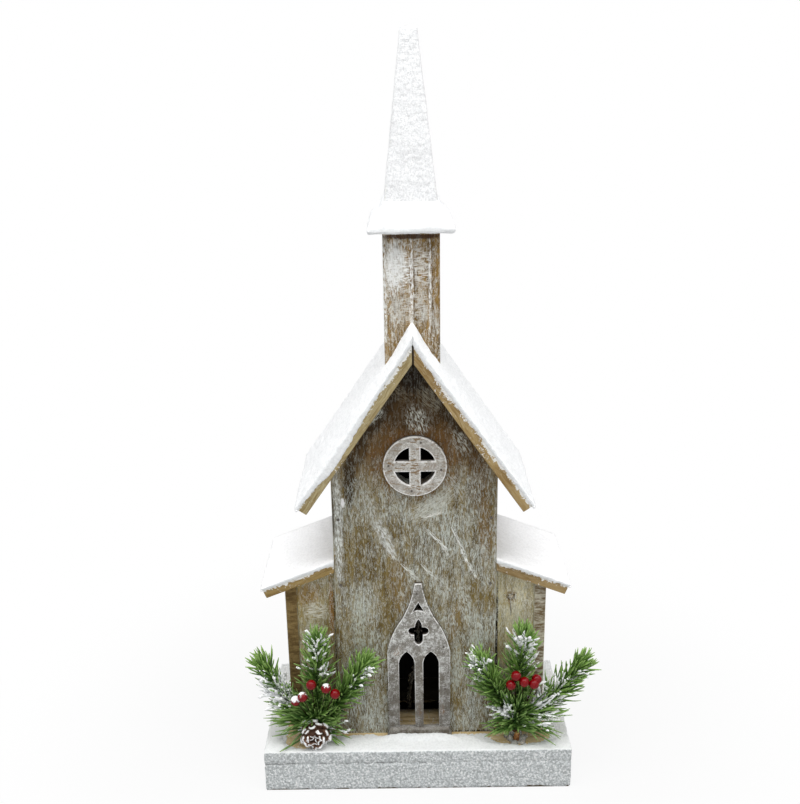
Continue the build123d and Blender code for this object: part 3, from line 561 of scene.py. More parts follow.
def whitewashed_trim(name, shades, rubs, edge_highlight_and_char, low_stain_and_shade=0.0, bars=0.0):
    """Thin ply with a grey-white wash brushed both ways, brown rubbed dabs, burnt cut edges with a painted highlight as
    a white lip, and if asked a darker foot, partly stain and partly painted shade.
    """
    made, place = new_finish(name, Specular_IOR_Level=0.25)
    dark, middle, pale = shades
    x, y, z = place.parts()
    across = place.laid((0, radians(90), 0))
    cloud = place.grit(0.0065, 5.0, 0.72)
    colour = mixed(cloud.rise(0.30, 0.70), dark, middle)
    for vector, reach in ((place, 0.004), (across, 0.003)):
        brushed = dry_brush(vector, 0.0006, reach, cloud.rise(0.36, 0.64, 0.30, 0.66))["Mask"]
        colour = mixed(brushed * 0.6, colour, pale)
        colour = mixed(furrows(vector, 0.0014)["Dark"] * 0.5, colour, tone(dark, 0.62))
    if bars:
        aside, above = x - rosette[0], z - rosette[1]
        level = abs(above).rise(0.0046, 0.0040) * aside.rise(0.010, -0.002)
        worn = dry_brush(across, 0.0016, 0.0060, 0.55)["Mask"] * (abs(aside).rise(0.0046, 0.0040) | level | 0.55)
        colour = mixed(worn * bars, colour, (128, 104, 72))
    colour = dabbed(colour, place, nave_front - trim_thick, rubs)
    # Darker low down on the door: partly stain, partly painted shade
    if low_stain_and_shade:
        colour = mixed(z.rise(0.135, 0.060, 0.0, low_stain_and_shade), colour, (74, 67, 57))
    # The white on the cut edges and on the marked rim is a painted highlight; the back part of the cut edges is burnt
    # dark
    edge = abs(place.facing()[1]).rise(0.985, 0.86) | place.layer("rim").rise(0.25, 0.9)
    burnt = y.rise(nave_front - 0.0028, nave_front - 0.0022)
    colour = mixed(edge * place.grit(0.003).rise(0.36, 0.50) * edge_highlight_and_char, colour, (240, 240, 238))
    colour = mixed(edge * burnt * edge_highlight_and_char, colour, (52, 40, 28))
    relief = board_grain(across, 0.0034)["Fibre"] * 0.5 + board_grain(place, 0.0030)["Fibre"] * 0.5
    return lay_on(made, colour, 0.72, relief, 0.0003)


base_wood = bare_base_wood()
rosette_ply = whitewashed_trim("rosette_ply", ((168, 162, 152), (200, 198, 192), (226, 226, 222)), rosette_rubs,
                               0.9, bars=0.9)
door_ply = whitewashed_trim("door_ply", ((124, 119, 110), (164, 163, 158), (234, 235, 233)), door_rubs, 0.95,
                            low_stain_and_shade=0.52)
sill_ply = whitewashed_trim("sill_ply", ((94, 86, 76), (120, 115, 105), (152, 150, 142)), [], 0.12)


def snow_flock(name, size, top, side, tuft_light_and_shade, depth=0.0007, seam=None, top_tuft_light_and_shade=1.0):
    """White flocked snow with fine tufts, with painted shade and light by facing (greyer on upright faces), painted
    shade in the tufts' hollows and painted highlights on their tops, and a broken seam line at a height.
    """
    made, place = new_finish(name, Sheen_Weight=0.1)
    tufts = flock(place, size)["Height"]
    up = place.facing()[2].rise(0.25, 0.75)
    marks = up.rise(0.0, 1.0, tuft_light_and_shade, tuft_light_and_shade * top_tuft_light_and_shade)
    # Upright faces and tops get their own colours: painted shade and light by how they face
    colour = mixed(up, side, top)
    # Painted shade in the tufts' hollows and painted highlights on their tops
    colour = mixed(tufts.rise(0.42, 0.24) * marks, colour, tone(side, 0.76))
    colour = mixed(tufts.rise(0.40, 0.52) * marks, colour, tone(side, 1.22, 254))
    if seam is not None:
        x, _, z = place.parts()
        off = z + place.grit(0.02, 2.0) * 0.0016 - seam
        broken = place.laid(stretch=(0.5, 0.5, 1)).grit(0.006).rise(0.46, 0.58) * x.rise(0.085, 0.045)
        colour = mixed(abs(off).rise(0.0009, 0.0003) * broken * 0.6, colour, (96, 98, 96))
    return lay_on(made, colour, 0.9, tufts * 0.6 + flock(place, size * 0.5)["Height"] * 0.4, depth)


roof_snow = snow_flock("roof_snow", 0.0018, (251, 252, 253), (240, 242, 243), 0.22)
# A whiter copy of the roof snow for the aisle roofs: painted light against the shade the nave casts beside them
aisle_snow_lightened = snow_flock("aisle_snow_lightened", 0.0018, (254, 254, 255), (240, 242, 243), 0.15)
spire_snow = snow_flock("spire_snow", 0.0013, (202, 205, 208), (237, 238, 239), 0.4)
cap_snow = snow_flock("cap_snow", 0.0016, (241, 242, 243), (236, 238, 239), 0.12, 0.0006)
base_snow = snow_flock("base_snow", 0.0019, (249, 251, 251), (211, 216, 217), 0.85, 0.0020, 0.0272, 0.15)
clump_snow = snow_flock("clump_snow", 0.0012, (250, 251, 252), (243, 245, 246), 0.2)
sprayed_white = (244, 246, 247)


def needle_green():
    """Green needles: darker inside, lighter at the tips, frosted where snow was sprayed."""
    made, place = new_finish("needle_green", Specular_IOR_Level=0.35)
    along = place.layer("along")
    colour = mixed(place.layer("shade"), (46, 84, 24), (128, 166, 78))
    colour = mixed(along.rise(0.0, 0.45, 0.6, 0.0), colour, (26, 48, 14))
    colour = mixed(along.rise(0.65, 1.0, 0.0, 0.5), colour, (158, 188, 110))
    dust = place.grit(0.0016, 4.0, 0.7)
    white = (dust + place.layer("frost")).rise(0.80, 0.88)
    return lay_on(made, mixed(white, colour, sprayed_white), white.rise(0.0, 1.0, 0.5, 0.9), dust, 0.0002)


def berry_red():
    """Glossy red lacquer, dark at the wire, with a little snow on top."""
    made, place = new_finish("berry_red", Specular_IOR_Level=0.2)
    colour = mixed(place.grit(0.0030, 2.0), (84, 0, 7), (140, 0, 11))
    colour = mixed(place.layer("crown"), colour, (44, 18, 12))
    lies = settled_snow(place, place.layer("frost"), 0.0022)["Mask"]
    return lay_on(made, mixed(lies, colour, sprayed_white), lies.rise(0.0, 1.0, 0.16, 0.9), lies, 0.0003)


def cone_brown():
    """Dark scales, paler at the middle rib, with white painted tips."""
    made, place = new_finish("cone_brown")
    along = place.layer("along")
    cloud = place.grit(0.0025, 4.0)
    colour = mixed(cloud, (38, 22, 15), (92, 60, 42))
    colour = mixed(along.rise(0.45, 0.8, 0.0, 0.6), colour, (122, 88, 64))
    colour = mixed((along + cloud * 0.5).rise(1.08, 1.15), colour, (242, 243, 244))
    return lay_on(made, colour, 0.8, cloud, 0.0004)


def tape_wrap():
    """Brown crinkled floral tape, wound round and round."""
    made, place = new_finish("tape_wrap")
    turns = place.node("TexWave", {"Vector": place.laid((radians(14), 0, 0)), "Scale": 70.0, "Distortion": 1.5,
                                   "Detail": 2.0}, "Fac", bands_direction="Z")
    crinkle = place.grit(0.0012)
    colour = mixed(turns, (60, 38, 20), (112, 78, 44))
    colour = mixed(crinkle.rise(0.55, 0.7, 0.0, 0.6), colour, (140, 104, 64))
    return lay_on(made, colour, 0.75, turns * 0.7 + crinkle * 0.3, 0.0005)


def stub_wood():
    """Fibrous brown twig wood, paler where it is cut."""
    made, place = new_finish("stub_wood")
    fibre = place.laid(stretch=(1, 1, 0.2)).grit(0.0009, 4.0)
    colour = mixed(fibre.rise(0.36, 0.64), (84, 48, 20), (172, 116, 60))
    colour = mixed(place.facing()[2].rise(0.5, 0.8), colour, (196, 150, 94))
    return lay_on(made, colour, 0.7, fibre, 0.0003)


def clouded(name, size, detail, shades, rough, depth, **plain):
    """A clear stuff with cloudy parts, which are rougher."""
    made, place = new_finish(name, **plain)
    cloud = place.grit(size, detail)
    return lay_on(made, mixed(cloud, *shades), cloud.rise(0.3, 0.7, *rough), cloud, depth)


def dull_metal(name, shade, rough):
    """Plain metal with rubbed streaks and a few brown specks."""
    made, place = new_finish(name, Metallic=1.0)
    rubs = place.laid(stretch=(1, 1, 0.15)).grit(0.0006)
    colour = mixed(rubs, tone(shade, 0.75), shade)
    colour = mixed(place.grit(0.0010).rise(0.60, 0.70, 0.0, 0.6), colour, (86, 62, 44))
    return lay_on(made, colour, rubs.rise(0.3, 0.7, rough - 0.1, rough + 0.12), rubs, 0.0001)


def moulded(name, shade, rough):
    """Moulded plastic with a fine spark grain and slight scuffs."""
    made, place = new_finish(name)
    scuffs = place.laid((0.3, 0.2, 0.4), (1, 0.12, 1)).grit(0.0012, 4.0)
    pale = [part + (255 - part) * 0.18 for part in shade]
    colour = mixed(scuffs.rise(0.58, 0.72, 0.0, 0.4), shade, pale)
    return lay_on(made, colour, scuffs.rise(0.4, 0.7, rough, rough + 0.16), place.grit(0.0005, 2.0), 0.00012)


def cell_wrap():
    """Printed film on a dry cell: dark green with a copper band at one end."""
    made, place = new_finish("cell_wrap", Coat_Weight=0.4)
    film = place.laid(stretch=(0.08, 1, 1)).grit(0.0008)
    body = mixed(film, (24, 44, 34), (38, 66, 50))
    ring = mixed(film, (150, 92, 48), (190, 126, 74))
    colour = mixed(place.parts()[0].rise(-0.0425, -0.0421), body, ring)
    return lay_on(made, colour, film.rise(0.3, 0.7, 0.25, 0.38), film, 0.0001)


def clear_wire():
    """Clear yellowed insulation over fine copper strands."""
    made, place = new_finish("clear_wire", Transmission_Weight=0.6, IOR=1.5)
    strands = place.node("TexWave", {"Vector": place.laid((0, 0.5, 0.3)), "Scale": 700.0, "Distortion": 2.0}, "Fac",
                         bands_direction="X")
    colour = mixed(strands, (74, 64, 46), (118, 114, 100))
    return lay_on(made, colour, place.grit(0.006, 2.0).rise(0.3, 0.7, 0.15, 0.4), strands, 0.00008)


needle_finish = needle_green()
berry_finish = berry_red()
cone_finish = cone_brown()
tape_finish = tape_wrap()
stub_finish = stub_wood()
glue_finish = clouded("hot_glue", 0.004, 4.0, ((190, 184, 172), (238, 238, 234)), (0.14, 0.4), 0.0008, IOR=1.48,
                      Transmission_Weight=0.55, Subsurface_Weight=0.2, Subsurface_Radius=(0.004, 0.003, 0.002))
nail_finish = dull_metal("nail_metal", (120, 114, 108), 0.5)
contact_finish = dull_metal("contact_metal", (206, 204, 200), 0.28)
box_finish = moulded("black_moulding", (28, 28, 30), 0.42)
switch_finish = moulded("white_moulding", (224, 224, 220), 0.36)
cell_finish = cell_wrap()
wire_finish = clear_wire()
bulb_finish = clouded("bulb_glass", 0.0012, 3.0, ((246, 232, 196), (252, 248, 236)), (0.04, 0.3), 0.0001, IOR=1.49,
                      Transmission_Weight=0.85)


# Workbench: small helpers for the pieces
def mesh_from(name, bm):
    """Turns a bmesh into a mesh, and lets the bmesh go."""
    mesh = bpy.data.meshes.new(name)
    bm.to_mesh(mesh)
    bm.free()
    return mesh


def linked(name, data):
    """A new object in the scene."""
    made = bpy.data.objects.new(name, data)
    bpy.context.scene.collection.objects.link(made)
    return made


def worked_out(made):
    """The mesh that an object's modifiers or its curve give. The object goes."""
    bpy.context.view_layer.update()
    mesh = bpy.data.meshes.new_from_object(made.evaluated_get(bpy.context.evaluated_depsgraph_get()))
    bpy.data.objects.remove(made)
    return mesh


def piece(name, bm, finish, replaced=(), smooth=True):
    """Makes a mesh piece that moves with the church."""
    mesh = mesh_from(name, bm)
    mesh.polygons.foreach_set("use_smooth", [smooth] * len(mesh.polygons))
    mesh.materials.append(finish)
    made = linked(name, mesh)
    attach(made, "church")
    if replaced:
        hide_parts(*replaced)
    return made


def shelled(made):
    """Gives a skin of snow its thickness."""
    shell = made.modifiers.new("shell", "SOLIDIFY")
    shell.thickness = 0.0004
    shell.offset = -1


def ripple(place, size, seed=0.0):
    """Smooth noise from -1 to 1 with bumps of a given size."""
    return noise.noise(Vector(place) / size + Vector((seed, seed * 0.7, seed * 1.3)))


def turned_to(aim):
    """A turn that brings Z to a way."""
    return aim.to_track_quat("Z", "X").to_matrix().to_4x4()


def drawn_out(bm, face, keep=False):
    """Draws a face out of a shape, and gives the new face and its corners."""
    grown = bmesh.ops.extrude_face_region(bm, geom=face)["geom"]
    if not keep:
        bmesh.ops.delete(bm, geom=face, context="FACES_ONLY")
    return ([item for item in grown if isinstance(item, bmesh.types.BMFace)],
            [item for item in grown if isinstance(item, bmesh.types.BMVert)])


def recalculated(bm):
    """Turns all faces outwards."""
    bmesh.ops.recalc_face_normals(bm, faces=bm.faces[:])


def blank_of(node_name):
    """A merged copy of a CAD node, with flat faces whole again."""
    bm = bmesh.new()
    bm.from_mesh(nodes[node_name].data)
    bmesh.ops.remove_doubles(bm, verts=bm.verts[:], dist=0.00001)
    bmesh.ops.dissolve_limit(bm, angle_limit=radians(1), verts=bm.verts[:], edges=bm.edges[:])
    return bm


def eased(bm, ease, chosen=None):
    """Rounds the sharp edges of a blank, or only the chosen ones."""
    sharp = [edge for edge in bm.edges if edge.is_manifold and edge.calc_face_angle() > radians(25)]
    if chosen is not None:
        sharp = [edge for edge in sharp if chosen(edge)]
    bmesh.ops.bevel(bm, geom=sharp, offset=ease, offset_type="OFFSET", segments=2, profile=0.5,
                    affect="EDGES", clamp_overlap=True, material=-1)
    return bm


def worn_board(node_name, finish, ease, chosen=None):
    """A board with its arrises rubbed off."""
    bm = eased(blank_of(node_name), ease, chosen)
    return piece("worn_" + node_name, bm, finish, (node_name,), smooth=False)


def evened(bm, voxel):
    """A closed shape rebuilt in small even faces, as a bmesh."""
    rough = mesh_from("blank", bm)
    blank = linked("blank", rough)
    even = blank.modifiers.new("even", "REMESH")
    even.mode = "VOXEL"
    even.voxel_size = voxel
    made = worked_out(blank)
    fine = bmesh.new()
    fine.from_mesh(made)
    for spent in (rough, made):
        bpy.data.meshes.remove(spent)
    return fine


def smoothed(bm, above, times):
    """Relaxes the part of a shape above a height."""
    for _ in range(times):
        bmesh.ops.smooth_vert(bm, verts=[vert for vert in bm.verts if vert.co.z > above], factor=0.5,
                              use_axis_x=True, use_axis_y=True, use_axis_z=True)


def roughened(bm, coarse, coarse_depth, fine, fine_depth):
    """Pushes the surface in and out by two sizes of bumps."""
    bm.normal_update()
    moves = []
    for vert in bm.verts:
        push = coarse_depth * ripple(vert.co, coarse, 3.1) + fine_depth * ripple(vert.co, fine, 8.4)
        moves.append((vert, vert.normal * push))
    for vert, move in moves:
        vert.co += move


# Boards of the church, with their edges worn round
def on_outline(edge):
    """True for the upright outer edges of a gable board."""
    return all(abs(vert.co.x) > nave_side - 0.0003 for vert in edge.verts)


def cap_arris(edge):
    """True for the outer edges of the cap board's top."""
    return (min(vert.co.z for vert in edge.verts) > 0.465
            and max(abs(vert.co.x) for vert in edge.verts) > 0.02)


def front_arris(edge):
    """True for the edges round the face of a trim board."""
    return edge.calc_length() > 0.0006 and all(
        abs(vert.co.y - nave_front + trim_thick) < 0.0002 for vert in edge.verts)


for side in ("left", "right"):
    for roof in ("main", "aisle"):
        worn_board(f"{roof}_roof_{side}", roof_finishes[f"{roof}_{side}"], 0.0006)
    for board, ease in (("front", 0.0006), ("side", 0.0009), ("back", 0.0006)):
        worn_board(f"aisle_{board}_{side}", aisle_finishes[side], ease)
    worn_board("tower_side_" + side, plain_tower, 0.0006)
worn_board("tower_front", stained_tower, 0.0007)
worn_board("tower_back", plain_tower, 0.0007)
worn_board("tower_cap", plain_tower, 0.0035, cap_arris)

front_blank = eased(blank_of("nave_front_wall"), 0.0008, on_outline)
for cut in front_cuts:
    bmesh.ops.bisect_plane(front_blank, geom=front_blank.verts[:] + front_blank.edges[:] + front_blank.faces[:],
                           plane_co=(0, 0, cut), plane_no=(0, 0, 1))
for face in front_blank.faces:
    face.material_index = sum(face.calc_center_median().z > cut for cut in front_cuts)
front_board = piece("worn_nave_front_wall", front_blank, front_finishes[0], ("nave_front_wall",), False)
for finish in front_finishes[1:]:
    front_board.data.materials.append(finish)
worn_board("nave_back_wall", stained_wall, 0.0008, on_outline)


def trim_board(node_name, finish, blank):
    """A trim board with its face marked along the eased edges, where a painted highlight goes."""
    bm = eased(blank, 0.0008, front_arris)
    rim = bm.verts.layers.float.new("rim")
    bm.normal_update()
    face = [item for item in bm.faces if item.normal.y < -0.99 and item.calc_center_median().y < nave_front - 0.0036]
    bmesh.ops.inset_region(bm, faces=face, thickness=0.0009, use_even_offset=True)
    bm.normal_update()
    # The rim marks where the painted highlight goes
    for vert in bm.verts:
        vert[rim] = float(vert.co.z > floor_top + 0.010 and any(item.normal.y > -0.95 for item in vert.link_faces))
    piece("worn_" + node_name, bm, finish, (node_name,), False)


# The small triangle in the door frame is cut a little larger
triangle_foot = 0.1540
door_blank = blank_of("door_tracery")
for vert in door_blank.verts:
    if abs(vert.co.x - door_x) < 0.0045 and triangle_foot - 0.0005 < vert.co.z < triangle_foot + 0.0085:
        vert.co.x = door_x + (vert.co.x - door_x) * 1.25
        vert.co.z = triangle_foot + (vert.co.z - triangle_foot) * 1.2
trim_board("door_tracery", door_ply, door_blank)
trim_board("window_rosette", rosette_ply, blank_of("window_rosette"))
worn_board("door_sill", sill_ply, 0.0010)

# CAD nodes that keep their shape get a better finish
for finish, *names in (
        (stained_wall, "nave_left_wall", "nave_right_wall"),
        (base_wood, "base_top_board", "base_front_apron", "base_back_apron", "base_apron_left", "base_apron_right"),
        (roof_finishes["main_right"], "spire_core", "spire_dowel"),
        (nail_finish, "trim_brads", "wall_nails", "wire_staples", "box_screws"),
        (box_finish, "battery_box", "battery_cover"), (switch_finish, "switch_slider"), (cell_finish, "batteries"),
        (contact_finish, "battery_contacts"), (bulb_finish, "led_bulbs")):
    for name in names:
        nodes[name].data.materials.clear()
        nodes[name].data.materials.append(finish)


# Snow on the roofs
def roof_blanket(name, replaced, finish, side, ridge, pitch, slope, front, drape, eave, seed, ridge_heap):
    """Flocked snow on one slope, which hangs over the board's front end and its eave."""
    thick = 0.0022
    depth = roof_back - front
    along = round(slope / 0.0011)
    across = round(depth / 0.002)
    fold = 7
    bm = bmesh.new()
    bmesh.ops.create_grid(bm, x_segments=along + 3, y_segments=across + fold + 1, size=0.5)
    for vert in bm.verts:
        i = round((vert.co.x + 0.5) * (along + 3))
        j = round((vert.co.y + 0.5) * (across + fold + 1))
        s = slope * min(i, along) / along
        w = depth * min(max(j - 1, 0), across) / across
        lump = 0.8
        for share, size in ((0.25, 0.022), (0.22, 0.005), (0.12, 0.0022)):
            lump += share * ripple((s, w, 0), size, seed)
        out = thick * (lump + ridge_heap * max(0.0, 1 - s / 0.032) ** 2)
        y = roof_back - w
        if i == 0:
            s = -out * tan(pitch)
        out *= max(min(1.0, 0.35 + 0.65 * min(j - 1, 3) / 3), 0.0)
        if j == 0:
            out = -0.0003
        if i > along:
            hang = eave * (0.5 + 0.5 * ripple((0, w, 0), 0.006, seed + 2))
            out -= hang * (i - along) / 3 + out * 0.3
            s += 0.0011 if i < along + 3 else -0.0003
        if j > across + 1:
            step = (j - across - 1) / fold
            hang = max(drape(s / slope), 0.0004) * (1 + 0.10 * ripple((s, 0, 0), 0.016, seed + 5))
            hang += 0.0006 * ripple((s, 0, 0), 0.0045, seed + 6) + 0.0005 * ripple((s, 0, 0), 0.0020, seed + 7)
            out = out * (1 - step) * 0.8 - max(hang, 0.0003) * step
            swell = 1 + 0.3 * ripple((s, step * 0.003, 0), 0.0022, seed)
            y = front - 0.0011 * swell * sqrt(max(1 - step ** 2, 0.0))
            if j == across + fold + 1:
                y = front + 0.0004
        x = ridge[0] + s * cos(pitch) + out * sin(pitch)
        z = ridge[1] - s * sin(pitch) + out * cos(pitch)
        vert.co = (side * max(x, ridge[0]), y, z)
    inside = [face for face in bm.faces if all(
        abs(vert.co.x) < tower_side - 0.001 and tower_front + 0.001 < vert.co.y < tower_back - 0.001
        and vert.co.z > 0.3 for vert in face.verts)]
    bmesh.ops.delete(bm, geom=inside, context="FACES")
    bm.normal_update()
    if sum(face.normal.z * face.calc_area() for face in bm.faces) < 0:
        bmesh.ops.reverse_faces(bm, faces=bm.faces[:])
    shelled(piece(name, bm, finish, (replaced,)))


def drape_along(*marks):
    """How far snow hangs over a roof's front end, by marks of (share of the slope, depth)."""
    def drape(share):
        for (before, low), (after, high) in zip(marks, marks[1:]):
            if share <= after:
                return low + (high - low) * max(0.0, share - before) / (after - before)
        return marks[-1][1]
    return drape


def aisle_drape(share):
    """Snow over an aisle roof's front end."""
    return 0.0022 - 0.0008 * share


# Left rake: most of the board's end below its middle. Right rake: a thin rim, a little more near the ridge
left_drape = drape_along((0.0, 0.0012), (0.22, 0.0010), (0.36, 0.0022), (0.52, 0.0046), (0.68, 0.0068),
                         (0.76, 0.0062), (0.86, 0.0030), (1.0, 0.0014))
right_drape = drape_along((0.0, 0.0016), (0.12, 0.0026), (0.30, 0.0018), (0.55, 0.0012), (1.0, 0.0012))
main_roof = (main_ridge, main_pitch, main_slope, main_front)
aisle_roof = (aisle_ridge, aisle_pitch, aisle_slope, nave_front)
for roof, finish, shape, drapes, eave, seed, heap in (
        ("main", roof_snow, main_roof, (left_drape, right_drape), 0.0025, 1.0, 0.85),
        ("aisle", aisle_snow_lightened, aisle_roof, (aisle_drape, aisle_drape), 0.003, 41.0, 0.0)):
    for side, sign, drape, more in zip(("left", "right"), (-1, 1), drapes, (0.0, 20.0)):
        roof_blanket(f"{roof}_snow_{side}", f"{roof}_roof_snow_{side}", finish, sign, *shape, drape, eave, seed + more,
                     heap)


# Snow on the cap and the spire
cap_profile = ((0.4600, 0.0310), (0.4615, 0.0318), (0.4640, 0.0317), (0.4665, 0.0309), (0.4690, 0.0294),
               (0.4715, 0.0274), (0.4742, 0.0249), (0.4770, 0.0226), (0.4800, 0.0211), (0.4815, 0.0207))


def at_corner(vert, half, level):
    """A corner's place on a square round the tower's middle."""
    return (half if vert.co.x > 0 else -half, tower_middle + (half if vert.co.y > tower_middle else -half), level)


def heaped_cap():
    """Snow heaped on the cap, swelling down from the spire's foot to its rim."""
    bm = bmesh.new()
    foot = Matrix.Translation((0, tower_middle, 0)) @ Matrix.Rotation(radians(45), 4, "Z")
    bmesh.ops.create_circle(bm, cap_ends=True, segments=4, radius=cap_profile[0][1] * sqrt(2), matrix=foot)
    face = bm.faces[:]
    for vert in bm.verts:
        vert.co.z = cap_profile[0][0]
    for number, (level, half) in enumerate(cap_profile[1:]):
        face, verts = drawn_out(bm, face, number == 0)
        for vert in verts:
            vert.co = at_corner(vert, half, level)
    recalculated(bm)
    bm = evened(bm, 0.0009)
    smoothed(bm, 0.4605, 4)
    roughened(bm, 0.007, 0.0005, 0.0022, 0.0003)
    piece("heaped_cap_snow", bm, cap_snow, ("cap_snow",))


def coated_spire():
    """Snow all over the spire, with softened corners and a blunt tip."""
    low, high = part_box("spire_snow")
    foot = low.z - 0.005
    tip_half = 0.0060
    bm = bmesh.new()
    bmesh.ops.create_cube(bm, size=1.0)
    for vert in bm.verts:
        top = vert.co.z > 0
        vert.co = at_corner(vert, tip_half if top else (high.x - low.x) / 2, high.z if top else foot)
    upright = [edge for edge in bm.edges if abs(edge.verts[0].co.z - edge.verts[1].co.z) > 0.05]
    bmesh.ops.bevel(bm, geom=upright, offset=0.0016, offset_type="OFFSET", segments=2, profile=0.5,
                    affect="EDGES", material=-1)
    bm = evened(bm, 0.0011)
    smoothed(bm, foot + 0.004, 3)
    roughened(bm, 0.012, 0.0004, 0.0024, 0.00035)
    piece("coated_spire_snow", bm, spire_snow, ("spire_snow",))


heaped_cap()
coated_spire()


# Snow on the base
def bare_distance(x, y):
    """How far a spot of the base's top is from the bare wood at the walls and picks."""
    gaps = []
    for half_width, front in ((nave_side, nave_front), (aisle_side, aisle_front)):
        dx = abs(x) - half_width - 0.002
        dy = max(front - 0.002 - y, y - nave_back - 0.002)
        gaps.append(max(dx, dy) if max(dx, dy) < 0 else sqrt(max(dx, 0) ** 2 + max(dy, 0) ** 2))
    for pick_x, pick_y, wide, deep in ((-0.096, -0.043, 0.0140, 0.0135), (0.0850, -0.043, 0.0235, 0.0105)):
        across = sqrt(((x - pick_x) / wide) ** 2 + ((y - pick_y) / deep) ** 2)
        gaps.append((across - 1) * deep)
    return min(gaps)


def coated_base():
    """Snow on the base's top and sides, feathered out at the bare wood."""
    low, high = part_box("base_snow")
    wide, deep, tall = 230, 118, 30
    bm = bmesh.new()
    middle = (low + high) / 2
    size = high - low
    top = Matrix.Translation((0, middle.y, high.z)) @ Matrix.Diagonal((size.x, size.y, 1, 1))
    bmesh.ops.create_grid(bm, x_segments=wide, y_segments=deep, size=0.5, matrix=top)
    for turn, across, reach, count in ((0, size.x, -low.y, wide), (180, size.x, high.y, wide),
                                       (90, size.y, high.x, deep), (-90, size.y, -low.x, deep)):
        upright = Matrix.Rotation(radians(turn), 4, "Z") @ Matrix.Translation((0, -reach, middle.z))
        upright = upright @ Matrix.Rotation(radians(90), 4, "X") @ Matrix.Diagonal((across, size.z, 1, 1))
        bmesh.ops.create_grid(bm, x_segments=count, y_segments=tall, size=0.5, matrix=upright)
    bmesh.ops.remove_doubles(bm, verts=bm.verts[:], dist=0.0002)
    recalculated(bm)
    bm.normal_update()
    if max(bm.faces, key=lambda face: face.calc_center_median().z).normal.z < 0:
        bmesh.ops.reverse_faces(bm, faces=bm.faces[:])
        bm.normal_update()
    under = [face for face in bm.faces if face.normal.z > 0.5
             and bare_distance(*face.calc_center_median().xy) < -0.004
             and aisle_front < face.calc_center_median().y < nave_back]
    bmesh.ops.delete(bm, geom=under, context="FACES")
    moves = []
    for vert in bm.verts:
        x, y, z = vert.co
        flat = (x, y, 0)
        if z > high.z - 0.0005 and abs(x) < high.x - 0.0004 and abs(y) < high.y - 0.0004:
            gap = bare_distance(x, y) + 0.0016 * ripple(flat, 0.009) + 0.0020 * ripple(flat, 0.0026)
            cover = min(0.002, -0.0005 + gap * 0.38)
            cover += 0.00028 * ripple(flat, 0.009, 4) + 0.00022 * ripple(flat, 0.003, 5)
            heap = max(0.0, 1 - abs(x - door_x) / 0.034) * max(0.0, 1 - abs(y - nave_front + 0.008) / 0.006)
            cover = max(min(cover, 0.0022), -0.0007) + min(1.0, 2.5 * heap) * 0.0030
            moves.append((vert, Vector((x, y, floor_top + cover))))
            continue
        outward = Vector((vert.normal.x, vert.normal.y, 0)).normalized()
        push = 0.00025 * ripple(vert.co, 0.008, 6) + 0.00035 * ripple(vert.co, 0.0028, 7)
        left_end = max(0.0, min(1.0, (-x - 0.04) / 0.06))
        seam = max(0.0, 1 - abs(z - board_joint - 0.0004 * ripple(flat, 0.01)) / 0.0016)
        push += seam * (-0.0008 + 0.0005 * left_end * ripple(flat, 0.004, 9))
        if z < low.z + 0.0002:
            z = 0.0003 + 0.0022 * max(0.0, ripple(flat, 0.010, 11)) + 0.0014 * max(0.0, ripple(flat, 0.003, 12))
            push = -0.0006
        elif z > high.z - 0.0005:
            push -= 0.0003
            z -= 0.0004 + 0.0003 * ripple(flat, 0.005, 13)
        moves.append((vert, Vector((x, y, z)) + outward * push))
    for vert, spot in moves:
        vert.co = spot
    shelled(piece("coated_base_snow", bm, base_snow, ("base_snow",)))


coated_base()

# Pine picks
dice = random.Random(7)


def one_needle():
    """A slim bent needle, one long, from its root up Z."""
    bm = bmesh.new()
    for label in ("along", "shade", "frost"):
        bm.verts.layers.float.new(label)
    bmesh.ops.create_circle(bm, cap_ends=True, segments=4, radius=1.0)
    face = bm.faces[:]
    for level in (0.3, 0.6, 0.85, 1.0):
        face, verts = drawn_out(bm, face)
        centre = sum((vert.co for vert in verts), Vector()) / len(verts)
        for vert in verts:
            vert.co = (vert.co - centre) * (0.35 if level == 1.0 else 0.98) + Vector((centre.x, centre.y, level))
    reach = bm.verts.layers.float["along"]
    for vert in bm.verts:
        vert[reach] = vert.co.z
    recalculated(bm)
    return mesh_from("needle", bm)


needle_blank = one_needle()


def add_needle(bm, seat, length, thick, bend, shade, frost):
    """Plants one needle, which keeps off the wall and the base and within the pick's reach."""
    mesh = needle_blank.copy()
    for vert in mesh.vertices:
        along = vert.co.z
        spot = seat @ Vector((vert.co.x * thick + bend * length * along * along, vert.co.y * thick, along * length))
        wall = nave_front if abs(spot.x) < nave_side + 0.002 else aisle_front
        vert.co = (max(min(spot.x, pick_reach[1]), pick_reach[0]), max(min(spot.y, wall - 0.0008), pick_front),
                   max(spot.z, floor_top + 0.0026))
    for label, value in (("shade", shade), ("frost", frost)):
        mesh.attributes[label].data.foreach_set("value", [value] * len(mesh.vertices))
    bm.from_mesh(mesh)
    bpy.data.meshes.remove(mesh)


def add_tuft(bm, place, size, seed, aim=None):
    """One ragged lump of flocked snow, long along its aim if it has one."""
    seat = Matrix.Translation(place)
    if aim is not None:
        seat = seat @ turned_to(aim)
    seat = seat @ Matrix.Diagonal((*size, 1))
    lump = bmesh.ops.create_uvsphere(bm, u_segments=7, v_segments=6, radius=1.0, matrix=seat)
    for vert in lump["verts"]:
        out = vert.co - Vector(place)
        vert.co = Vector(place) + out * (0.9 + 0.8 * ripple(vert.co, 0.0016, seed))


def snow_on(name, bm):
    """Makes a piece of the lumps of snow, if there are any."""
    if bm.verts:
        piece("snow_on_" + name, bm, clump_snow)
    else:
        bm.free()


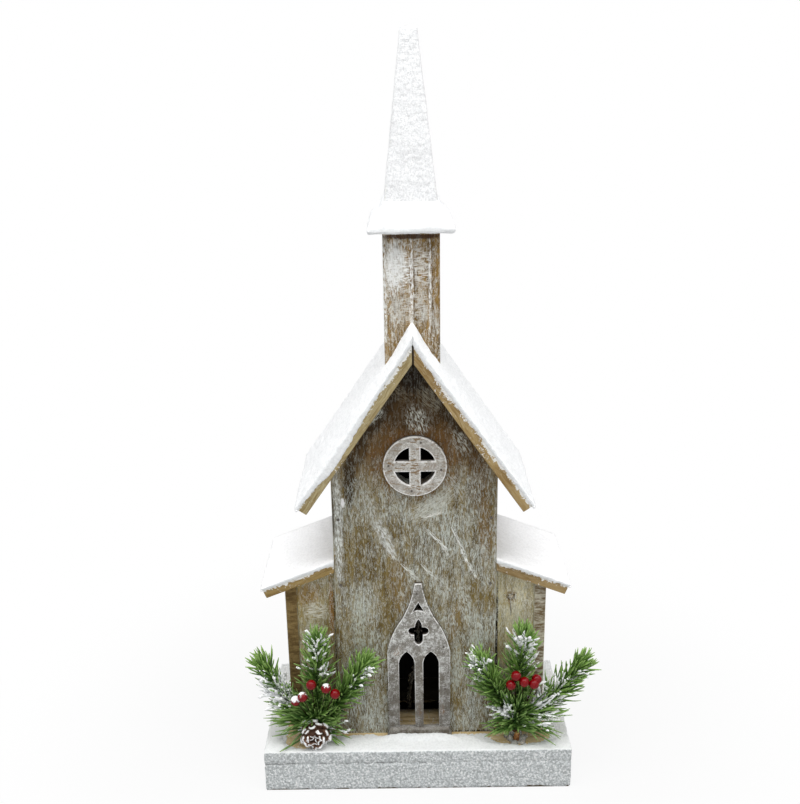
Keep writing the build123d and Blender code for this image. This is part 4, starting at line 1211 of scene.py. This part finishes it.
# Snow sprayed on the picks from the front and above: patches of (aside, up, reach, amount) from the pick's top
spray_fall = 0.68
spray_plane = -0.050
sprayed = {
    "left": [
        (-0.034, 0.03, 0.017, 1.9), (-0.042, 0.045, 0.012, 1.2), (-0.028, 0.046, 0.011, 1.3),
        (-0.024, 0.028, 0.009, 1.2), (0.001, 0.081, 0.008, 1.1), (0.012, 0.088, 0.006, 1.0),
        (0.003, 0.073, 0.006, 1.2), (0.008, 0.056, 0.007, 1.4), (-0.007, 0.062, 0.008, 0.8),
        (-0.013, 0.076, 0.006, 0.6), (0.015, 0.074, 0.008, 1.0), (0.027, 0.069, 0.005, 1.0),
        (0.044, 0.053, 0.007, 1.0), (0.034, 0.046, 0.006, 0.7), (0.021, 0.0, 0.007, 1.3),
    ],
    "right": [
        (-0.036, 0.065, 0.008, 1.0), (-0.03, 0.058, 0.008, 1.0), (-0.032, 0.047, 0.005, 0.7),
        (0.001, 0.083, 0.007, 1.7), (0.008, 0.077, 0.007, 1.3), (0.01, 0.07, 0.006, 1.2),
        (-0.005, 0.073, 0.006, 0.9), (0.012, 0.061, 0.007, 1.1), (0.025, 0.052, 0.009, 1.5),
        (0.02, 0.036, 0.008, 1.4), (0.035, 0.044, 0.007, 1.2), (0.051, 0.051, 0.007, 1.0),
        (0.018, 0.024, 0.009, 1.6), (0.033, 0.027, 0.007, 1.0), (0.037, 0.013, 0.011, 1.5),
        (0.019, 0.006, 0.009, 1.2), (0.056, 0.037, 0.005, 0.8), (-0.01, 0.015, 0.008, 1.9),
        (-0.019, 0.017, 0.006, 0.9),
    ],
}


class Greenery:
    """The needles of one piece and the snow sprayed on them."""

    def __init__(self, side):
        self.pick = picks[side]
        self.needles = bmesh.new()
        for label in ("along", "shade", "frost"):
            self.needles.verts.layers.float.new(label)
        self.snow = bmesh.new()
        self.patches = sprayed[side]

    def frost_at(self, spot):
        """How much snow was sprayed at a spot."""
        x = spot.x - self.pick[0]
        z = spot.z - pick_top + spray_fall * (spot.y - spray_plane)
        return max(amount * max(0.0, 1 - ((x - aside) ** 2 + (z - up) ** 2) / reach ** 2)
                   for aside, up, reach, amount in self.patches)

    def plant(self, root, way, reach, bend, shade, toward):
        """One needle bent toward a way, off the wall, the base and the cone's front, and its lumps of snow."""
        if root.y + way.y * reach > aisle_front - 0.001:
            way.y = min((aisle_front - 0.001 - root.y) / reach, 0.0)
        if root.z + way.z * reach < floor_top + 0.0035:
            way.z = (floor_top + 0.0035 - root.z) / reach
        way.normalize()
        for spot in (root + way * reach * 0.6, root + way * reach):
            fall = spot.z + spray_fall * (spot.y - cone_middle.y) - cone_middle.z
            if (spot.x - cone_middle.x) ** 2 + fall * fall < cone_clear ** 2:
                return
        bow = way.to_track_quat("Z", "X").inverted() @ toward
        seat = Matrix.Translation(root) @ turned_to(way)
        seat = seat @ Matrix.Rotation(atan2(bow.y, bow.x) + dice.uniform(-0.9, 0.9), 4, "Z")
        frost = self.frost_at(seat @ Vector((bend * reach * 0.42, 0, reach * 0.65)))
        add_needle(self.needles, seat, reach, dice.uniform(0.00056, 0.00082), bend, shade,
                   min(frost, 1.0) * dice.uniform(0.1, 0.56))
        if dice.random() > frost * 0.85:
            return
        for _ in range(dice.choice((1, 1, 2, 2))):
            share = dice.uniform(0.35, 0.97)
            spot = seat @ Vector((bend * reach * share * share, 0, reach * share)) + Vector((0, -0.0004, 0.0004))
            broad = dice.uniform(0.0006, 0.0013) * max(1.0, frost)
            if spot.z > floor_top + 0.003 and pick_front + 0.001 < spot.y < aisle_front - 0.002:
                add_tuft(self.snow, spot, (broad, broad, broad * dice.uniform(1.1, 3.2)), dice.uniform(0, 50), way)

    def finish(self, name, replaced):
        """Makes the pieces of needles and snow."""
        piece("needles_" + name, self.needles, needle_finish, replaced)
        snow_on(name, self.snow)


def pine_sprig(name, step, aim, length, curl, lean):
    """A twig that curls up, with long bent needles along it and a fan of them at its tip."""
    grown = Greenery(name.split("_")[0])
    foot = Vector((grown.pick[0] + step * 0.0025, grown.pick[1] + 0.0011, pick_top))
    axis = Vector(aim).normalized()
    count, fan = 240, 44
    for number in range(count + fan):
        share = min((number + 0.5) / count, 1.0)
        place = 0.004 + (length - 0.004) * share
        root = foot + axis * place + Vector((0, 0, curl * (place / length) ** 2))
        ahead = (axis + Vector((0, 0, 2 * curl * place / length ** 2))).normalized()
        across = ahead.cross(Vector((0, 1, 0))).normalized()
        front = across.cross(ahead).normalized()
        turn = number * golden_turn + dice.uniform(-0.5, 0.5)
        open_out = radians(lean) * (1.1 - 0.35 * share) * dice.uniform(0.6, 1.2)
        reach = min(0.011 + 0.40 * place, 0.0245 - 0.006 * share ** 3) * dice.uniform(0.68, 1.06)
        if number >= count:
            open_out = radians(58) * dice.uniform(0.0, 1.0) ** 0.7
            reach = 0.0195 * dice.uniform(0.75, 1.05)
        way = ahead * cos(open_out) + (across * cos(turn) + front * sin(turn)) * sin(open_out)
        shade = min(1.0, max(0.0, dice.gauss(0.30 + 0.35 * share, 0.24)))
        grown.plant(root, way, reach, dice.uniform(0.05, 0.42), shade, ahead)
    planted = len(grown.needles.verts)
    twig = bmesh.ops.create_cone(grown.needles, cap_ends=True, segments=8, radius1=0.0013, radius2=0.0007, depth=length,
                                 matrix=Matrix.Translation(foot + axis * length / 2) @ turned_to(axis))
    sides = list({edge for vert in twig["verts"] for edge in vert.link_edges if edge.calc_length() > length * 0.9})
    bmesh.ops.subdivide_edges(grown.needles, edges=sides, cuts=6)
    shade_layer = grown.needles.verts.layers.float["shade"]
    for vert in grown.needles.verts[planted:]:
        vert.co.z += curl * max(0.0, (vert.co - foot).dot(axis) / length) ** 2
        vert[shade_layer] = 0.1
    grown.finish(name, ("pine_sprig_" + name,))


pine_sprig("left_outer", -1, (-0.890, -0.098, 0.430), 0.041, 0.037, 60)
pine_sprig("left_middle", 0, (0.040, -0.086, 0.995), 0.078, 0.0, 64)
pine_sprig("left_inner", 1, (0.560, -0.166, 0.810), 0.066, 0.006, 58)
pine_sprig("right_outer", 1, (0.800, -0.075, 0.560), 0.058, 0.020, 60)
pine_sprig("right_middle", 0, (0.055, -0.083, 0.995), 0.081, 0.0, 64)
pine_sprig("right_inner", -1, (-0.400, -0.155, 0.905), 0.065, 0.0, 60)


def low_bush(side, sweeps):
    """Needles round the pick's foot: sweeps of (way, length, count, shade)."""
    grown = Greenery(side)
    foot = Vector((*grown.pick, pick_top))
    for ways, reach, count, shade in sweeps:
        for _ in range(count):
            way = Vector([part + dice.uniform(-0.34, 0.34) for part in ways]).normalized()
            root = foot + Vector((dice.uniform(-0.003, 0.003), -0.003, dice.uniform(-0.006, 0.012)))
            tint = min(1.0, max(0.0, shade + dice.uniform(-0.22, 0.3)))
            grown.plant(root, way, reach * dice.uniform(0.55, 1.0), dice.uniform(-0.34, 0.34), tint, Vector((0, 0, 1)))
    grown.finish(side + "_foot", ())


low_bush("left", [((-0.95, -0.30, 0.10), 0.040, 14, 0.0), ((-0.85, -0.30, 0.55), 0.044, 60, 0.25),
                  ((-0.60, -0.55, 0.60), 0.028, 36, 0.15), ((0.0, -0.60, 0.80), 0.030, 50, 0.15),
                  ((0.60, -0.55, 0.55), 0.030, 46, 0.3), ((0.95, -0.40, 0.20), 0.030, 46, 0.4)])
low_bush("right", [((-0.95, -0.35, 0.10), 0.030, 30, 0.4), ((-0.60, -0.55, 0.50), 0.028, 40, 0.25),
                   ((0.05, -0.55, 0.90), 0.040, 70, 0.15), ((0.60, -0.55, 0.50), 0.026, 40, 0.3),
                   ((0.88, -0.35, 0.36), 0.048, 56, 0.3), ((0.95, -0.40, 0.16), 0.028, 26, 0.4)])


def wired_berries(side, berries):
    """Lacquered berries, each on a thin wire from the pick: places from its top, and how much snow each has."""
    pick = picks[side]
    bm = bmesh.new()
    crown_layer = bm.verts.layers.float.new("crown")
    frost_layer = bm.verts.layers.float.new("frost")
    snow = bmesh.new()
    for number, (dx, dy, dz, frost) in enumerate(berries):
        middle = Vector((pick[0] + dx, pick[1] + dy, pick_top + dz))
        foot = Vector((pick[0] + (number - 2) * 0.0011, pick[1] - 0.0024, pick_top))
        turn = turned_to((middle - foot).normalized())
        made = bmesh.ops.create_uvsphere(bm, u_segments=28, v_segments=18, radius=0.0041)["verts"]
        for vert in made:
            if vert.co.z < -0.0039:
                vert[crown_layer] = 1.0
            vert[frost_layer] = frost
        bmesh.ops.transform(bm, matrix=Matrix.Translation(middle) @ turn, verts=made)
        stalk = bmesh.ops.create_cone(bm, cap_ends=True, segments=8, radius1=0.0003, radius2=0.0003,
                                      depth=(middle - foot).length - 0.004,
                                      matrix=Matrix.Translation((foot + middle) / 2) @ turn)
        for vert in stalk["verts"]:
            vert[crown_layer] = 1.0
        for _ in range(round(20 * max(0.0, frost - 0.22))):
            way = Vector((dice.gauss(0, 0.7), dice.gauss(-0.5, 0.6), abs(dice.gauss(0.7, 0.4)))).normalized()
            add_tuft(snow, middle + way * 0.0040, (0.0013, 0.0012, 0.0009), dice.uniform(0, 50))
    piece("wired_berries_" + side, bm, berry_finish, ("berries_" + side,))
    snow_on("berries_" + side, snow)


wired_berries("left", [(-0.0150, -0.019, 0.0353, 0.40), (-0.0088, -0.021, 0.0403, 0.24),
                       (-0.0015, -0.020, 0.0509, -0.5), (0.0104, -0.020, 0.0474, 0.24),
                       (0.0175, -0.020, 0.0421, -0.5)])
wired_berries("right", [(-0.0065, -0.019, 0.0484, -0.5), (-0.0026, -0.019, 0.0568, -0.5),
                        (0.0041, -0.020, 0.0517, -0.5), (0.0120, -0.020, 0.0497, -0.5),
                        (0.0145, -0.016, 0.0514, -0.5)])


def one_scale():
    """A spoon-shaped cone scale, one long along Z, with a thick lip."""
    bm = bmesh.new()
    reach = bm.verts.layers.float.new("along")
    bmesh.ops.create_grid(bm, x_segments=4, y_segments=5, size=0.5)
    for vert in bm.verts:
        along = vert.co.y + 0.5
        broad = 0.14 + 0.34 * sin(pi * min(1.0, along * 0.72)) ** 1.3
        if along > 0.9:
            broad *= 0.86
        across = vert.co.x * 2
        lift = 0.22 * along * along - 0.16 * across * across * along
        vert.co = (across * broad, lift, along - 0.10 * across * across * along)
        vert[reach] = along
    for item in bmesh.ops.extrude_face_region(bm, geom=bm.faces[:])["geom"]:
        if isinstance(item, bmesh.types.BMVert):
            item.co.y -= 0.06 + 0.07 * item[reach]
    recalculated(bm)
    return mesh_from("scale", bm)


def pine_cone():
    """A small open cone on its side, its tip to the front, with scales in a spiral."""
    scale_blank = one_scale()
    low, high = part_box("pinecone")
    radius = (high.x - low.x) / 2
    front = Vector((0, -1, 0))
    bm = bmesh.new()
    reach_layer = bm.verts.layers.float.new("along")
    core = bmesh.ops.create_uvsphere(bm, u_segments=16, v_segments=10, radius=1.0,
                                     matrix=Matrix.Translation(cone_middle + Vector((0, 0.001, 0)))
                                     @ Matrix.Diagonal((radius * 0.5, 0.0075, radius * 0.5, 1)))
    for vert in core["verts"]:
        vert[reach_layer] = 0.1
    count = 38
    for number in range(count):
        share = number / (count - 1)
        turn = number * golden_turn + dice.uniform(-0.24, 0.24)
        open_out = radians(14 + 86 * share ** 0.7 + dice.uniform(-11, 11))
        radial = Vector((cos(turn), 0, sin(turn)))
        way = (front * cos(open_out) + radial * sin(open_out)).normalized()
        length = radius * (0.48 + 0.50 * share ** 0.6) * dice.uniform(0.84, 1.08)
        root = cone_middle + front * (0.0045 - 0.0100 * share) + radial * (0.0006 + 0.0012 * share)
        tip = root + way * length
        flat = Vector((tip.x - cone_middle.x, 0, tip.z - cone_middle.z)).length
        if flat > radius:
            length *= radius / flat
        up = (front - way * front.dot(way)).normalized() if open_out > 0.1 else radial
        side = up.cross(way).normalized()
        wide = length * (0.66 - 0.14 * share)
        mesh = scale_blank.copy()
        mesh.transform(Matrix.Translation(root)
                       @ Matrix((side * wide, up * length, way * length)).transposed().to_4x4())
        bm.from_mesh(mesh)
        bpy.data.meshes.remove(mesh)
    for vert in bm.verts:
        vert.co.z = max(vert.co.z, floor_top + 0.0001)
        vert.co.y = max(vert.co.y, low.y)
    recalculated(bm)
    piece("open_pinecone", bm, cone_finish, ("pinecone",))
    bpy.data.meshes.remove(scale_blank)


pine_cone()


def wrapped_stem(side):
    """A stem wound with tape."""
    pick = picks[side]
    wind = 0.0034
    bm = bmesh.new()
    bmesh.ops.create_circle(bm, cap_ends=True, segments=24, radius=0.0034,
                            matrix=Matrix.Translation((*pick, floor_top)))
    face = bm.faces[:]
    levels = 26
    for level in range(1, levels + 1):
        face, verts = drawn_out(bm, face, level == 1)
        for vert in verts:
            vert.co.z = floor_top + (pick_top - floor_top) * level / levels
    for vert in bm.verts:
        out = Vector((vert.co.x - pick[0], vert.co.y - pick[1], 0))
        angle = Vector((1, 0)).angle_signed(Vector((out.x, out.y))) if out.length > 1e-6 else 0.0
        wound = ((vert.co.z - floor_top) / wind + angle / (2 * pi)) % 1.0
        swell = 1 + 0.07 * wound + 0.05 * ripple(vert.co, 0.003, 5)
        vert.co.x = pick[0] + out.x * swell
        vert.co.y = pick[1] + out.y * swell
    recalculated(bm)
    piece("wrapped_stem_" + side, bm, tape_finish, ("pick_stem_" + side,))


def glue_puddle(side, lumps):
    """Hot glue that was squeezed round the stem in lumps of (aside, back, breadth, height)."""
    pick = picks[side]
    bm = bmesh.new()
    for dx, dy, broad, tall in lumps:
        bmesh.ops.create_icosphere(bm, subdivisions=3, radius=1.0,
                                   matrix=Matrix.Translation((pick[0] + dx, pick[1] + dy, floor_top))
                                   @ Matrix.Diagonal((broad, broad * 0.9, tall, 1)))
    bm = evened(bm, 0.0007)
    roughened(bm, 0.005, 0.0005, 0.002, 0.0002)
    bmesh.ops.bisect_plane(bm, geom=bm.verts[:] + bm.edges[:] + bm.faces[:], plane_co=(0, 0, floor_top + 0.0001),
                           plane_no=(0, 0, -1), clear_outer=True)
    bmesh.ops.holes_fill(bm, edges=[edge for edge in bm.edges if edge.is_boundary])
    piece("glue_puddle_" + side, bm, glue_finish, ("glue_blob_" + side,))


for side in picks:
    wrapped_stem(side)
glue_puddle("left", [(0, 0, 0.0075, 0.005), (0.004, -0.003, 0.005, 0.0035), (-0.004, 0.002, 0.005, 0.003)])
glue_puddle("right", [(0, 0, 0.0062, 0.0070), (-0.0045, -0.0060, 0.0030, 0.0052), (0.0052, -0.0065, 0.0034, 0.0048),
                      (-0.0015, -0.0105, 0.0034, 0.0026), (0.0046, -0.0105, 0.0028, 0.0024),
                      (-0.0070, -0.0020, 0.0030, 0.0030), (0.0080, -0.0030, 0.0026, 0.0022)])


def cut_stub():
    """The cut end of the right pick's stem, which stands in the glue in front of the wrapped part."""
    x, y = picks["right"]
    bm = bmesh.new()
    bmesh.ops.create_cone(bm, cap_ends=True, segments=20, radius1=0.0025, radius2=0.0022, depth=0.0088,
                          matrix=Matrix.Translation((x + 0.0004, y - 0.0078, floor_top + 0.0044))
                          @ turned_to(Vector((0.10, -0.30, 0.95))))
    bmesh.ops.subdivide_edges(bm, edges=[edge for edge in bm.edges if edge.calc_length() > 0.006], cuts=6)
    for vert in bm.verts:
        vert.co += Vector((ripple(vert.co, 0.0025, 2), ripple(vert.co, 0.0025, 3), 0)) * 0.0004
    piece("cut_stub_right", bm, stub_finish)


cut_stub()


# Light string: a twisted pair that follows one smooth route
def smooth_route(spots):
    """The points of a smooth curve along some spots."""
    curve = bpy.data.curves.new("light_route", "CURVE")
    curve.dimensions = "3D"
    curve.resolution_u = 16
    spline = curve.splines.new("NURBS")
    spline.points.add(len(spots) - 1)
    for point, spot in zip(spline.points, spots):
        point.co = (*spot, 1.0)
    spline.order_u = 3
    spline.use_endpoint_u = True
    line = worked_out(linked("light_route", curve))
    path = [vert.co.copy() for vert in line.vertices]
    bpy.data.meshes.remove(line)
    return path


def light_string():
    """Two strands twisted round the route from the battery box up the inside of the front wall."""
    route = [(-0.026, 0.004, 0.017), (-0.014, 0.004, 0.017), (-0.0055, 0.002, 0.027), (-0.0075, -0.006, 0.051),
             (-0.0025, -0.018, 0.084), (0.0025, -0.02625, 0.120), (0.0005, -0.02625, 0.158),
             (0.0025, -0.02625, 0.198), (0.0010, -0.02625, 0.235)]
    strand_radius = 0.00095
    twist_length = 0.014
    path = smooth_route(route)
    walked = [0.0]
    for before, after in zip(path, path[1:]):
        walked.append(walked[-1] + (after - before).length)
    fine = []
    count = round(walked[-1] / 0.0009)
    spot = 0
    for number in range(count + 1):
        goal = walked[-1] * number / count
        while spot < len(path) - 2 and walked[spot + 1] < goal:
            spot += 1
        share = (goal - walked[spot]) / max(walked[spot + 1] - walked[spot], 1e-9)
        fine.append((path[spot].lerp(path[spot + 1], share), (path[spot + 1] - path[spot]).normalized(), goal))
    bm = bmesh.new()
    for start in (0.0, pi):
        rings = []
        for middle, way, goal in fine:
            side = way.cross(Vector((1, 0.3, 0))).normalized()
            other = way.cross(side).normalized()
            turn = start + goal / twist_length * 2 * pi
            centre = middle + (side * cos(turn) + other * sin(turn)) * strand_radius
            seat = Matrix.Translation(centre) @ Matrix((side, other, way)).transposed().to_4x4()
            rings.append(bmesh.ops.create_circle(bm, segments=8, radius=strand_radius, matrix=seat)["verts"])
        for first, second in zip(rings, rings[1:]):
            edges = [edge for ring in (first, second) for edge in {e for vert in ring for e in vert.link_edges
                                                                  if e.other_vert(vert) in ring}]
            bmesh.ops.bridge_loops(bm, edges=list(dict.fromkeys(edges)))
        for ring in (rings[0], rings[-1]):
            bmesh.ops.contextual_create(bm, geom=ring)
    recalculated(bm)
    made = piece("twisted_light_wire", bm, wire_finish, ("light_wire",))


light_string()


# Studio: floor, light and camera
def seen_directly(tree):
    """1 for rays from the camera, also by way of gloss or glass."""
    rays = tree.nodes.new("ShaderNodeLightPath").outputs
    return Wire(rays["Is Camera Ray"]) | Wire(rays["Is Glossy Ray"]) | Wire(rays["Is Transmission Ray"])


def pale_floor():
    """A plain white floor that keeps a soft shadow."""
    made = bpy.data.materials.new("pale_floor")
    tree = bare_tree(made)
    place = Wire(tree.nodes.new("ShaderNodeTexCoord").outputs["Object"])
    x, y, _ = place.parts()
    clear = (abs(x).rise(base_half_width - 0.004, base_half_width)
             | abs(y).rise(base_half_depth - 0.004, base_half_depth))
    share = seen_directly(tree) * place.length().rise(0.16, 0.42, 0.87, 1.0) * clear
    white = place.node("Emission", {"Color": (1, 1, 1, 1), "Strength": 1.0})
    # Under the base the floor is painted near black: painted shade seen through the hole in the base's top
    paper = place.node("BsdfDiffuse", {"Color": mixed(clear, (0.01, 0.01, 0.01, 1), (0.62, 0.62, 0.62, 1))})
    blend = place.node("MixShader", {0: share, 1: paper, 2: white})
    feed(tree.nodes.new("ShaderNodeOutputMaterial").inputs["Surface"], blend)
    bm = bmesh.new()
    bmesh.ops.create_grid(bm, x_segments=1, y_segments=1, size=6.0)
    floor = linked("floor", mesh_from("floor", bm))
    floor.data.materials.append(made)


def soft_light(name, place, aim, size, power):
    """A large soft lamp."""
    lamp = bpy.data.lights.new(name, "AREA")
    lamp.shape = "SQUARE"
    lamp.size = size
    lamp.energy = power
    made = linked(name, lamp)
    made.location = place
    made.rotation_euler = (Vector(aim) - Vector(place)).to_track_quat("-Z", "Y").to_euler()


def white_sky():
    """A white background that lights the scene only a little."""
    world = bpy.data.worlds.new("studio")
    bpy.context.scene.world = world
    sky = bare_tree(world)
    plain = seen_directly(sky)
    level = plain.node("MapRange", {"Value": plain, "To Min": 0.34, "To Max": 1.0})
    dome = plain.node("Background", {"Color": (1, 1, 1, 1), "Strength": level})
    feed(sky.nodes.new("ShaderNodeOutputWorld").inputs["Surface"], dome)


def fitted_camera():
    """The camera as it was fitted to the photograph."""
    camera = bpy.data.cameras.new("camera")
    camera.sensor_width = 36.0
    camera.lens = 45.283
    camera.clip_end = 50.0
    dip, swing, tilt = radians(18.92), radians(-0.34), radians(-0.96)
    ahead = Vector((sin(swing) * cos(dip), cos(swing) * cos(dip), -sin(dip)))
    right = Vector((cos(swing), -sin(swing), 0))
    upward = right.cross(ahead)
    right, upward = right * cos(tilt) + upward * sin(tilt), upward * cos(tilt) - right * sin(tilt)
    eye = linked("camera", camera)
    eye.matrix_world = (Matrix.Translation((-0.00568, -0.76077, 0.58098))
                        @ Matrix((right, upward, -ahead)).transposed().to_4x4())
    bpy.context.scene.camera = eye


pale_floor()
soft_light("top_left_light", (-0.8, -0.4, 1.6), (0, 0, 0.25), 1.2, 14.5)
soft_light("top_right_light", (0.8, -0.4, 1.6), (0, 0, 0.25), 1.2, 14.5)
soft_light("overhead_light", (0.0, -0.55, 1.9), (0, 0, 0.1), 0.9, 12.0)
soft_light("front_light", (0.1, -1.8, 0.9), (0, 0, 0.25), 1.0, 3.5)
white_sky()
fitted_camera()
bpy.context.scene.view_settings.view_transform = "Standard"
